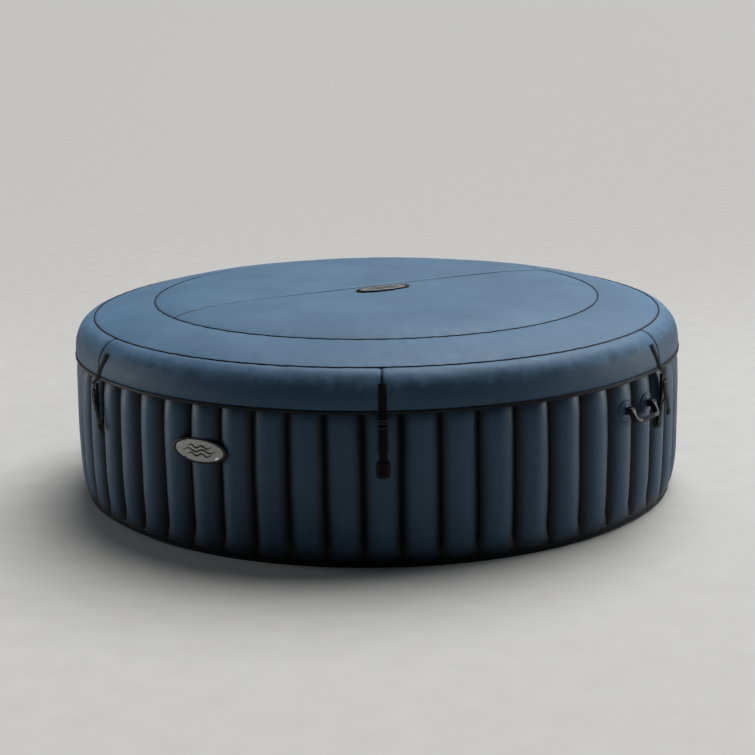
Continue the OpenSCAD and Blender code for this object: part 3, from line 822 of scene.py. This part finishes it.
def crown_point(x, y, at_seam):
    """A point of the crown in its seam's own frame, where the seam runs along x."""
    turned = Matrix.Rotation(math.radians(CROWN_SEAM_AZ), 2) @ Vector((x, y))
    r = turned.length
    az = azimuth_of(turned)
    edge_r, edge_z = round_seam(az)
    away = abs(y)
    inside = max(0.0, CROWN_R - r)
    soft = smooth(inside / 0.16)
    groove = 0.0028 * math.exp(-away / 0.013)
    swell = 0.0032 * noise(Vector((turned.x * 2.6, turned.y * 2.6, 0.4)))
    swell += 0.0012 * noise(Vector((turned.x * 8, turned.y * 8, 3.1)))
    gather = pucker(x, away, 40 + (y > 0), 0.0010) * smooth(inside / 0.02)
    gather += pucker(math.radians(az) * CROWN_R, inside, 44, 0.0016) * smooth(inside / 0.006)
    height = edge_z + crown_height(r) - groove * soft + (swell * soft + gather) * smooth(away / 0.004 + at_seam)
    scale = mix(edge_r / CROWN_R, 1.0, smooth(inside / 0.05))
    return Vector((turned.x * scale, turned.y * scale, height))


def build_crown():
    rows, columns = 52, 190
    for side, name in ((-1, "front"), (1, "back")):
        def point(i, j, side=side):
            turn = math.pi * j / (columns - 1)
            x = -CROWN_R * math.cos(turn)
            deep = CROWN_R * math.sin(turn)
            share = (1 - math.cos(math.pi * i / (rows - 1))) / 2
            share = mix(share, i / (rows - 1), 0.25)
            return crown_point(x, side * share * deep, 0)

        verts, faces = grid(rows, columns, point)
        crown = make_piece(f"crown_{name}_panel", verts, faces, "cover", "cover_vinyl", COVER_VINYL,
                           ["cover_top_" + name], outward_faces=False)
        tidy_sheet(crown)
        thicken(crown, SKIN)


def tidy_sheet(piece):
    """Merges points that meet at a panel's corners and turns its faces up or out."""
    shape = bmesh.new()
    shape.from_mesh(piece.data)
    bmesh.ops.remove_doubles(shape, verts=shape.verts, dist=1e-5)
    bmesh.ops.recalc_face_normals(shape, faces=shape.faces)
    shape.faces.ensure_lookup_table()
    total = Vector()
    for face in shape.faces:
        out = face.calc_center_median().normalized()
        total += Vector((face.normal.dot(out) * face.calc_area(), 0, 0))
    if total.x < 0:
        bmesh.ops.reverse_faces(shape, faces=shape.faces)
    shape.to_mesh(piece.data)
    shape.free()


def ring_point(az, s):
    inner_r, inner_z = round_seam(az)
    outer_r, outer_z = crease_seam(az)
    r, z = mix(inner_r, outer_r, s), mix(inner_z, outer_z, s)
    width = CREASE_R - CROWN_R
    edge = min(s, 1 - s) * width
    puff = 0.0085 * math.sin(math.pi * s) ** 0.7
    swell = 0.0030 * noise(Vector((math.radians(az) * 2.6, s * 0.9, 6.6)))
    swell += 0.0012 * noise(Vector((math.radians(az) * 8, s * 2.4, 7.6)))
    gather = pucker(math.radians(az) * CROWN_R, s * width, 52, 0.0014)
    gather += pucker(math.radians(az) * CREASE_R, (1 - s) * width, 53, 0.0014)
    return polar(az, r, z + puff + swell * smooth(edge / 0.06) + gather * smooth(edge / 0.005))


def build_ring():
    rows, columns = 26, 420

    def point(i, j):
        return ring_point(360 * j / columns, (1 - math.cos(math.pi * i / (rows - 1))) / 2)

    verts, faces = grid(rows, columns, point, around=True)
    ring = make_piece("cover_ring_panel", verts, faces, "cover", "cover_vinyl", COVER_VINYL, ["cover_ring"],
                      outward_faces=False)
    tidy_sheet(ring)
    thicken(ring, SKIN)


def skirt_profile(s):
    return bezier(*SKIRT, s)


def skirt_normal(s):
    run = skirt_profile(min(1, s + 0.01)) - skirt_profile(max(0, s - 0.01))
    return Vector((-run.y, run.x)).normalized()


def skirt_point(az, s, lift=0.0):
    """A point of the side band, s from the crease seam down to the hem."""
    p = skirt_profile(s)
    n = skirt_normal(s)
    n = n if n.x > 0 else -n
    seam = strap_az(round((az - STRAP_LEAD) / STRAP_PITCH))
    away = abs(math.radians(az - seam)) * HEM_R
    groove = 0.0030 * math.exp(-away / 0.010) * smooth(s / 0.05)
    edge = min(s, 1 - s)
    swell = 0.0034 * noise(Vector((math.radians(az) * 3.0, s * 1.1, 11.0)))
    swell += 0.0014 * noise(Vector((math.radians(az) * 9.5, s * 3.0, 12.0)))
    gather = pucker(math.radians(az) * CREASE_R, s * 0.15, 61, 0.0013)
    gather += pucker(math.radians(az) * HEM_R, (1 - s) * 0.15, 62, 0.0018)
    gather += pucker(s * 0.15, away, 63 + seam, 0.0014) * smooth(edge / 0.05)
    out = swell * smooth(edge / 0.3) + gather * smooth(edge / 0.03) - groove + lift
    top_r, top_z = crease_seam(az)
    share = smooth(1 - s / 0.1)
    return polar(az, p.x + n.x * out + (top_r - CREASE_R) * share, p.y + n.y * out + (top_z - CREASE_Z) * share)


def build_skirt():
    rows, columns = 26, 76
    length = sum((skirt_profile((n + 1) / 20) - skirt_profile(n / 20)).length for n in range(20))
    pieces = []
    for n in range(STRAPS):
        def point(i, j, n=n):
            share = (1 - math.cos(math.pi * j / (columns - 1))) / 2
            share = mix(share, j / (columns - 1), 0.6)
            return skirt_point(strap_az(n + share), i / (rows - 1))

        verts, faces = grid(rows, columns, point)
        made = ["cover_skirt"] if n == 0 else []
        panel = make_piece(f"skirt_panel_{n + 1}", verts, faces, "cover", "cover_vinyl", COVER_VINYL, made,
                           outward_faces=False)
        tidy_sheet(panel)
        thicken(panel, SKIN)
        pieces.append(panel)
    return pieces


def build_hem():
    """The binding folded over the hem, with its row of stitches."""
    columns = 540
    section = rounded(0.0062, HEM_TOP - HEM_FOOT + 0.0008, 0.0026, 3)
    azimuths = [360 * n / columns for n in range(columns)]

    def wave(az):
        return 0.0006 * noise(Vector((az * 0.35, 0, 71))), 0.0010 * noise(Vector((az * 0.3, 0, 72)))

    middle = (HEM_FOOT + HEM_TOP) / 2
    path = [polar(az, HEM_R - 0.0031 + wave(az)[0], middle + wave(az)[1]) for az in azimuths]
    sides = [outward(az) for az in azimuths]
    verts, faces = sweep(path, sides, section, closed=True)
    make_piece("hem_tape", verts, faces, "cover", "black_vinyl", BLACK_VINYL, ["hem_binding"])
    # The pale stitches along the binding's top edge are partly painted highlight.
    line = [p + outward(az) * 0.0031 + Vector((0, 0, 0.0022)) for p, az in zip(path, azimuths)]
    verts, faces = stitches(line, sides, 0.0042, 0.0022)
    make_piece("hem_stitches", verts, faces, "cover", "black_vinyl", THREAD)


def build_piping():
    columns = 720
    shapes = []
    for seam, radius, lift in ((round_seam, 0.0019, 0.0016), (crease_seam, 0.0021, 0.0014)):
        azimuths = [360 * n / columns for n in range(columns)]
        path = [polar(az, seam(az)[0] + 0.0006, seam(az)[1] + lift + 0.0006 * noise(Vector((az * 1.9, 0, 81))))
                for az in azimuths]
        shapes.append(sweep(path, [outward(az) for az in azimuths], round_section(radius), closed=True))
    verts, faces = joined(shapes)
    make_piece("round_piping", verts, faces, "cover", "black_vinyl", BLACK_VINYL, ["seam_piping"])


def build_cross_seam():
    """The flat seam across the crown."""
    steps = 150
    path = []
    for n in range(steps + 1):
        x = (CROWN_R - 0.002) * math.cos(math.pi * (1 - n / steps))
        path.append(crown_point(x, 0, 0) + Vector((0, 0, 0.0003)))
    side = Vector((-math.sin(math.radians(CROWN_SEAM_AZ)), math.cos(math.radians(CROWN_SEAM_AZ)), 0))
    verts, faces = sweep(path, [side] * len(path), rounded(0.0030, 0.0016, 0.0006, 1))
    make_piece("cross_seam", verts, faces, "cover", "black_vinyl", BLACK_VINYL)


def build_skirt_seams():
    """The upright seams between the side band's panels, from the crease seam to the hem."""
    shapes = []
    for n in range(STRAPS):
        az = strap_az(n)
        path = [skirt_point(az, 0.01 + 0.98 * i / 30, 0.0005) for i in range(31)]
        shapes.append(sweep(path, [across(az)] * len(path), rounded(0.0026, 0.0016, 0.0006, 1)))
    verts, faces = joined(shapes)
    make_piece("skirt_seams", verts, faces, "cover", "black_vinyl", BLACK_VINYL)


def build_liner():
    """The underside sheet, with a hole where the bladder's valve looks out."""
    valve_low, valve_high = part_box("bladder_valve")
    valve = (valve_low + valve_high) / 2

    def height(x, y, r):
        near = smooth((math.hypot(x - valve.x, y - valve.y) - 0.03) / 0.05)
        return LINER_Z + 0.0013 - near * 0.0012 * (0.5 + 0.5 * noise(Vector((x * 4, y * 4, 91))))

    verts, faces = disc(56, 260, 0.940, height)
    liner = make_piece("cover_underside", verts, faces, "cover", "cover_underside", UNDERSIDE, ["cover_liner"],
                       outward_faces=False)
    shape = bmesh.new()
    shape.from_mesh(liner.data)
    gone = [f for f in shape.faces
            if math.hypot(f.calc_center_median().x - valve.x, f.calc_center_median().y - valve.y) < 0.032]
    bmesh.ops.delete(shape, geom=gone, context="FACES")
    shape.to_mesh(liner.data)
    shape.free()
    tidy_sheet(liner)
    thicken(liner, 0.0012)


def build_bladder():
    """The inflated disc inside the cover: crowned on top, flat below, with a rounded edge."""
    def profile(share):
        r = BLADDER_R * math.sin(share * math.pi / 2)
        return r, CROWN_Z - 0.008 + crown_height(r * 0.985) - 0.0185 * (r / BLADDER_R) ** 14

    columns, rows = 160, 30
    rings = [profile((i + 1) / rows) for i in range(rows)]
    rings += [(BLADDER_R - 0.0006, BLADDER_FOOT + 0.006), (BLADDER_R - 0.004, BLADDER_FOOT + 0.0012)]
    rings += [(BLADDER_R * (1 - (i + 1) / 12), BLADDER_FOOT + 0.0004) for i in range(11)]

    def point(i, j):
        az = 360 * j / columns
        r, z = rings[i]
        return polar(az, r, z)

    verts, faces = grid(len(rings), columns, point, around=True)
    verts += [Vector((0, 0, CROWN_Z - 0.008 + CROWN_RISE)), Vector((0, 0, BLADDER_FOOT + 0.0004))]
    last = (len(rings) - 1) * columns
    faces += [(len(verts) - 2, j, (j + 1) % columns) for j in range(columns)]
    faces += [(len(verts) - 1, last + (j + 1) % columns, last + j) for j in range(columns)]
    bladder = make_piece("bladder", verts, faces, "cover", "cover_underside", UNDERSIDE, ["cover_bladder"])


# ---- Straps ----

WEB_W = 0.025
WEB_T = 0.0014
# How far each strap's sewn end and loose tail lie off its buckle, in degrees.
STRAP_SWAY = [(0.0, 0.0), (-2.4, 2.2), (0.8, -1.0), (-0.7, 0.8), (1.0, -1.2), (2.6, 2.0)]
STRAP_TOP_Z = 0.588
# The tail's route through the ladder and down over the buckle, as (radius, height).
WEAVE = [(1.0862, 0.503), (1.0864, 0.4965), (1.0930, 0.4900), (1.0964, 0.483), (1.0956, 0.4785),
         (1.0906, 0.4735), (1.0906, 0.4685), (1.0940, 0.4635), (1.0990, 0.4600), (1.1010, 0.4540),
         (1.1014, 0.430), (1.1018, 0.400), (1.1016, 0.365), (1.1006, 0.340), (1.1012, 0.3348),
         (1.1030, 0.3345), (1.1040, 0.338), (1.1036, 0.352)]


def strap_lean(n, z):
    """How far a strap's middle is from its buckle's azimuth at a height."""
    top, tail = STRAP_SWAY[n]
    return top * smooth((z - 0.492) / 0.09) + tail * smooth((0.452 - z) / 0.11)


def skirt_share(z):
    """The place down the side band that lies at this height."""
    return min((n / 200 for n in range(201)), key=lambda s: abs(skirt_profile(s).y - z))


def upper_path(n):
    """The middle line of a cover strap, from its sewn end to the folded tip of its tail."""
    start = skirt_share(STRAP_TOP_Z)
    on_skirt = []
    for i in range(11):
        s = mix(start, 0.985, i / 10)
        p = skirt_profile(s) + skirt_normal(s) * (0.0022 if skirt_normal(s).x > 0 else -0.0022)
        on_skirt.append((p.x, p.y))
    route = curved([(r, z) for r, z in on_skirt + WEAVE], 4)
    az = strap_az(n)
    return [polar(az + strap_lean(n, q[1]), q[0], q[1]) for q in route]


def build_cover_straps():
    section = rounded(WEB_W, WEB_T, 0.0005, 1)
    shapes, threads = [], []
    for n in range(STRAPS):
        az = strap_az(n)
        path = upper_path(n)
        shapes.append(sweep(path, [across(az)] * len(path), section))
        threads += strap_stitches(path, az)
    verts, faces = joined(shapes)
    make_piece("cover_webbing", verts, faces, "cover", "black_webbing", WEBBING, ["cover_straps"])
    verts, faces = joined(threads)
    make_piece("webbing_stitches", verts, faces, "cover", "black_webbing", THREAD)


def strap_stitches(path, az):
    """A stitched box with a cross at a strap's sewn end."""
    def at(i, side):
        along = (path[i + 1] - path[i - 1 if i else 0]).normalized()
        up = along.cross(across(az))
        return path[i] + across(az) * side + up * (WEB_T / 2 + 0.0001), up

    edge = WEB_W / 2 - 0.003
    last = 18
    sewn = range(1, last)
    rows = [[at(i, -edge) for i in sewn], [at(i, edge) for i in sewn],
            [at(i, mix(-edge, edge, (i - 1) / (last - 2))) for i in sewn],
            [at(i, mix(edge, -edge, (i - 1) / (last - 2))) for i in sewn]]
    for i in (1, last - 1):
        rows.append([at(i, -edge + 2 * edge * m / 6) for m in range(7)])
    return [stitches([p for p, _ in row], [u for _, u in row], 0.0030, 0.0014, 0.00035) for row in rows]


def lower_path(n):
    """The tub's strap: up the wall from its patch, around the buckle's bar and back down on itself."""
    az = strap_az(n)
    up = [(1.0868, 0.356), (1.0868, 0.376), (1.0894, 0.389), (1.0905, 0.393), (1.0930, 0.3943),
          (1.0956, 0.393), (1.0966, 0.3904), (1.0956, 0.3874), (1.0906, 0.376), (1.0892, 0.358)]
    first = [(wall_r(az, z) + 0.0022, z) for z in (0.304, 0.318, 0.334)]
    last = [(wall_r(az, z) + 0.0040, z) for z in (0.338, 0.326)]
    return [polar(az, q[0], q[1]) for q in curved(first + up + last, 3)]


def build_lower_straps():
    section = rounded(WEB_W, WEB_T, 0.0005, 1)
    shapes = []
    for n in range(STRAPS):
        az = strap_az(n)
        path = lower_path(n)
        shapes.append(sweep(path, [across(az)] * len(path), section))
    verts, faces = joined(shapes)
    make_piece("tub_webbing", verts, faces, "tub", "black_webbing", WEBBING, ["lower_straps"])


def build_patches():
    """The welded patches under the tub's straps, which follow the wall's curve."""
    shapes = []
    rows, columns = 15, 15
    for n in range(STRAPS):
        az = strap_az(n)

        def point(i, j, az=az):
            u, v = 2 * j / (columns - 1) - 1, 2 * i / (rows - 1) - 1
            square = max(abs(u), abs(v)) or 1.0
            round_off = square / (abs(u) ** 5 + abs(v) ** 5) ** 0.2 if (u or v) else 1.0
            x, z = 0.0225 * u * round_off, 0.324 + 0.0285 * v * round_off
            place = az + math.degrees(x / WALL_R)
            weld = 0.0005 * smooth((square - 0.80) / 0.04) * smooth((0.97 - square) / 0.04)
            return polar(place, wall_r(place, z) + 0.0016 - weld, z)

        shapes.append(grid(rows, columns, point))
    verts, faces = joined(shapes)
    patches = make_piece("strap_welds", verts, faces, "tub", "black_vinyl", BLACK_VINYL, ["strap_patches"],
                         outward_faces=False)
    thicken(patches, 0.0014)


# Heights and radii of the bars in front of the webbing, from the top.
LADDER_BARS = [(0.4800, 1.0990), (0.4715, 1.0975), (0.4580, 1.1030)]


def build_ladder_bars():
    """The ladder's front bars and the keeper around the loose tail."""
    shapes = []
    for n in range(STRAPS):
        az = strap_az(n)
        for z, r in LADDER_BARS:
            path = [polar(az, r, z) + across(az) * (0.0166 * (i / 6 - 1)) for i in range(13)]
            shapes.append(sweep(path, [Vector((0, 0, 1))] * 13, rounded(0.0026, 0.0020, 0.0008, 2)))
        for side in (-1, 1):
            for z, r in LADDER_BARS:
                path = [polar(az, mix(1.0945, r, i / 4), z) + across(az) * (0.0158 * side) for i in range(5)]
                shapes.append(sweep(path, [Vector((0, 0, 1))] * 5, rounded(0.0026, 0.0020, 0.0008, 2)))
    verts, faces = joined(shapes)
    make_piece("ladder_bars", verts, faces, "cover", "black_plastic", GLINT_BAR_PLASTIC)


def build_buckles():
    build_ladder_bars()
    refined("buckle_sleeves", "buckle_sockets", BLACK_PLASTIC, 0.0007, 3)
    refined("buckle_tongues", "buckle_bases", BLACK_PLASTIC, 0.0006, 3)
    for n in range(STRAPS):
        for side in ("left", "right"):
            node = f"prong_{n + 1}_{side}"
            refined("buckle_" + node, node, BLACK_PLASTIC, 0.0007, 3)


# ---- Handles ----

# How the handles hang in the CAD: degrees below level, and the reach from pivot to grip.
HANDLE_TILT = 60
HANDLE_REACH = 0.040
ANCHOR_R = 0.0350
# Height of the welded disc over the wall, from its middle to its rim, as (radius, height).
ANCHOR_RINGS = [(0.0, 0.0052), (0.0130, 0.0052), (0.0150, 0.0046), (0.0165, 0.0030), (0.0205, 0.0026),
                (0.0220, 0.0040), (0.0240, 0.0043), (0.0258, 0.0026), (0.0300, 0.0024), (0.0318, 0.0040),
                (0.0330, 0.0042), (0.0342, 0.0026), (0.0350, 0.0010)]


def handle_joint(name):
    return next(j for j in frame["joints"] if j["name"] == name)


def build_anchor_discs(name, hub_azimuths, z):
    """Round welded discs with raised rings. They bend with the flute under them."""
    columns = 64
    shapes = []
    for az in hub_azimuths:
        def place(r, turn, lift, az=az):
            x, rise = r * math.cos(turn), r * math.sin(turn)
            here = az + math.degrees(x / WALL_R)
            bend = smooth((r - 0.016) / 0.014)
            base = mix(wall_r(az, z), wall_r(here, z + rise), bend)
            return polar(here, base + lift, z + rise)

        verts = [place(0, 0, ANCHOR_RINGS[0][1])]
        for r, h in ANCHOR_RINGS[1:] + [(ANCHOR_R, -0.0006)]:
            verts += [place(r, 2 * math.pi * n / columns, h) for n in range(columns)]
        rings = len(ANCHOR_RINGS)
        faces = [(0, 1 + n, 1 + (n + 1) % columns) for n in range(columns)]
        faces += [(1 + i * columns + n, 1 + (i + 1) * columns + n, 1 + (i + 1) * columns + (n + 1) % columns,
                   1 + i * columns + (n + 1) % columns) for i in range(rings - 1) for n in range(columns)]
        faces.append(tuple(1 + (rings - 1) * columns + n for n in range(columns))[::-1])
        shapes.append((verts, faces))
    verts, faces = joined(shapes)
    make_piece(name, verts, faces, "tub", "wall_vinyl", SHADED_WALL_VINYL)


def handle_hubs(joint):
    """The azimuths of the two flutes that a handle's ends are fixed to."""
    az = azimuth_of(joint["pos_m"])
    k = flute_at(az)[0]
    pair = [k - 1, k] if az - crease_az(k) < PITCH / 2 else [k, k + 1]
    return [(crease_az(m) + crease_az(m + 1)) / 2 for m in pair]


EAR_R = 0.011
EAR_T = 0.0046
EAR_GAP = 0.0064
# How far the pivot line stands out from the wall's crest.
PIVOT_OUT = 0.020


def build_ears():
    """The pairs of ears that stand on the welded discs and hold the handles' pins."""
    shapes = []
    turns = [math.radians(90 - 180 * n / 16) for n in range(17)]
    outline = [(EAR_R * math.cos(a), EAR_R * math.sin(a)) for a in turns]
    outline += [(-0.0100, -0.0115), (-0.0165, -0.0130), (-0.0165, 0.0130), (-0.0100, 0.0115)]
    count = len(outline)
    for name in ("right_handle_swing", "left_handle_swing"):
        joint = handle_joint(name)
        pivot = Vector(joint["pos_m"])
        az = azimuth_of(pivot)
        hubs = handle_hubs(joint)
        aside = math.sin(math.radians((hubs[1] - hubs[0]) / 2)) * (wall_crest(pivot.z) + PIVOT_OUT)
        for side in (-1, 1):
            for ear in (-1, 1):
                middle = pivot + across(az) * (side * aside + ear * (EAR_GAP + EAR_T / 2))
                verts = [middle + across(az) * (EAR_T / 2 * e) + outward(az) * o + Vector((0, 0, u))
                         for e in (-1, 1) for o, u in outline]
                faces = [(n, (n + 1) % count, count + (n + 1) % count, count + n) for n in range(count)]
                faces += [tuple(range(count))[::-1], tuple(range(count, 2 * count))]
                shapes.append((verts, faces))
    verts, faces = joined(shapes)
    ears = make_piece("anchor_ears", verts, faces, "tub", "black_plastic", HANDLE_PLASTIC, ["handle_anchors"])
    ears.data.set_sharp_from_angle(angle=math.radians(32))
    soften(ears, 0.0010, 3)


def build_grip(name, node, joint, tilt):
    """The ribbed sleeve moulded over the middle of a handle."""
    pivot = Vector(joint["pos_m"])
    az = azimuth_of(pivot)
    down = outward(az) * math.cos(math.radians(tilt)) - Vector((0, 0, 1)) * math.sin(math.radians(tilt))
    side = outward(az) * math.sin(math.radians(tilt)) + Vector((0, 0, 1)) * math.cos(math.radians(tilt))
    half, count, ribs = 0.038, 88, 11
    path = [pivot + down * HANDLE_REACH + across(az) * mix(-half, half, i / count) for i in range(count + 1)]

    def ribbed(i, section):
        share = i / count
        wave = 0.5 - 0.5 * math.cos(2 * math.pi * ribs * share)
        grow = (0.0004 + 0.0012 * wave) * smooth(min(share, 1 - share) / 0.02) - 0.0004
        return [(x * (1 + grow / 0.010), y * (1 + grow / 0.006)) for x, y in section]

    section = rounded(0.0216, 0.0136, 0.0035, 4)
    verts, faces = sweep(path, [side] * len(path), section, slide=ribbed)
    make_piece(name, verts, faces, node, "black_plastic", HANDLE_PLASTIC)


def build_handles():
    build_ears()
    refined("pivot_pins", "handle_pins", BLACK_PLASTIC, 0.0010, 3)
    refined("right_handle_loop", "right_handle", HANDLE_PLASTIC, 0.0028, 4)
    refined("left_handle_loop", "left_handle", HANDLE_PLASTIC, 0.0028, 4)
    for name in ("right_handle", "left_handle"):
        joint = handle_joint(name + "_swing")
        build_anchor_discs(name + "_discs", handle_hubs(joint), joint["pos_m"][2])
        build_grip(name + "_grip", name, joint, HANDLE_TILT)


# ---- Badges ----

BADGE_HALF = Vector((0.1075, 0.041))
WALL_BADGE_AZ = -31.2
WALL_BADGE_Z = 0.349


def on_wall(u, v, lift):
    """A place on the wall badge, which bridges the creases under it."""
    az = WALL_BADGE_AZ + math.degrees(u / WALL_R)
    z = WALL_BADGE_Z + v
    return polar(az, mix(wall_crest(z), wall_r(az, z), 0.05) + 0.0012 + lift, z)


def on_crown(u, v, lift):
    low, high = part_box("cover_badge")
    middle = (low + high) / 2
    turn = math.radians(CROWN_SEAM_AZ)
    x = middle.x + u * math.cos(turn) - v * math.sin(turn)
    y = middle.y + u * math.sin(turn) + v * math.cos(turn)
    return Vector((x, y, head("cover_top_front") + 0.0012 + lift))


def oval(place, rings, columns=96):
    """A domed oval from (share of the size, lift) rings, closed below. Wide gaps get more rings."""
    fine = [rings[0]]
    for share, lift in rings[1:]:
        last = fine[-1]
        steps = max(1, round((share - last[0]) / 0.045))
        fine += [(mix(last[0], share, n / steps), mix(last[1], lift, n / steps)) for n in range(1, steps + 1)]
    rings = fine
    verts = [place(0, 0, rings[0][1])]
    for share, lift in rings[1:]:
        for n in range(columns):
            a = 2 * math.pi * n / columns
            verts.append(place(BADGE_HALF.x * share * math.cos(a), BADGE_HALF.y * share * math.sin(a), lift))
    count = len(rings) - 1
    faces = [(0, 1 + n, 1 + (n + 1) % columns) for n in range(columns)]
    faces += [(1 + i * columns + n, 1 + (i + 1) * columns + n, 1 + (i + 1) * columns + (n + 1) % columns,
               1 + i * columns + (n + 1) % columns) for i in range(count - 1) for n in range(columns)]
    faces.append(tuple(1 + (count - 1) * columns + n for n in range(columns))[::-1])
    return verts, faces


def wave_strip(place, middle, half_length, lift):
    """One wave of the badge's plain wave pattern."""
    count = 48
    verts, faces = [], []
    for i in range(count + 1):
        share = 2 * i / count - 1
        u = half_length * share
        v = middle + 0.0042 * math.sin(share * 2.5 * math.pi)
        thick = 0.0027 * (1 - abs(share) ** 3) + 0.0002
        verts += [place(u, v - thick, lift), place(u, v + thick, lift),
                  place(u, v + thick, lift + 0.0005), place(u, v - thick, lift + 0.0005)]
        if i < count:
            b = 4 * i
            faces += [(b + m, b + (m + 1) % 4, b + 4 + (m + 1) % 4, b + 4 + m) for m in range(4)]
    faces += [(3, 2, 1, 0), (4 * count, 4 * count + 1, 4 * count + 2, 4 * count + 3)]
    return verts, faces


def build_badge(name, place, body, node):
    rim = [(0.0, 0.0002), (0.83, 0.0003), (0.862, 0.0012), (0.885, 0.0018), (0.93, 0.0022),
           (0.975, 0.0018), (1.0, 0.0008), (1.004, -0.0004)]
    face = [(0.0, 0.0016), (0.83, 0.0013), (0.862, 0.0010)]
    make_piece(name + "_rim", *oval(place, rim), body, "black_plastic", BLACK_PLASTIC, [node])
    make_piece(name + "_face", *oval(place, face), body, "badge", BADGE_FACE)
    waves = [wave_strip(place, 0.013, 0.052, 0.0014), wave_strip(place, 0.0, 0.068, 0.0015),
             wave_strip(place, -0.013, 0.052, 0.0014)]
    make_piece(name + "_waves", *joined(waves), body, "black_plastic", BLACK_PLASTIC)


# ---- Fittings ----

def build_fittings():
    refined("valve_seat", "air_valve", BLACK_PLASTIC, 0.0005)
    refined("valve_lid", "air_valve_cap", BLACK_PLASTIC, 0.0005)
    refined("drain_spout", "drain_valve", BLACK_PLASTIC, 0.0005)
    refined("drain_lid", "drain_cap", BLACK_PLASTIC, 0.0005)
    refined("port_tubes", "port_fittings", BLACK_PLASTIC, 0.0008)
    refined("port_seals", "port_gaskets", RUBBER, 0.0006)
    for name in ("inlet", "outlet", "air"):
        refined(f"{name}_clamp_nut", f"{name}_nut", BLACK_PLASTIC, 0.0007)
    for name in ("inlet", "outlet"):
        refined(f"{name}_screen", f"{name}_strainer", STRAINER_PLASTIC, 0.0006)
    refined("bladder_stem", "bladder_valve", BLACK_PLASTIC, 0.0004)
    refined("bladder_lid", "bladder_valve_cap", BLACK_PLASTIC, 0.0004)
    refined("jet_channel", "bubble_channel", LINER_VINYL, 0.0020)
    refined("riser_duct", "air_riser", LINER_VINYL, 0.0020)


def note_holes():
    """Where the fittings pass through the wall: (place, radius of the opening)."""
    joints = {"inlet_nut_turn": 0.0300, "outlet_nut_turn": 0.0300, "air_nut_turn": 0.0190}
    for name, radius in joints.items():
        HOLES.append((Vector(handle_joint(name)["pos_m"]), radius))
    for bore, radius in (("inflation_valve_bore", 0.0190), ("drain_bore", 0.0170)):
        mount = next(m for m in frame["record"]["mounts"] if m["name"] == bore)
        HOLES.append((Vector(mount["pos_m"]), radius))


set_camera()
set_lights()
set_floor()
note_holes()
build_outer_wall()
build_bottom_band()
build_inner_wall()
build_rim()
build_webs()
build_floor_sheet()
build_crown()
build_ring()
build_skirt()
build_hem()
build_piping()
build_cross_seam()
build_skirt_seams()
build_liner()
build_bladder()
build_cover_straps()
build_lower_straps()
build_patches()
build_buckles()
build_handles()
build_badge("wall_badge", on_wall, "tub", "wall_badge")
build_badge("cover_badge", on_crown, "cover", "cover_badge")
build_fittings()
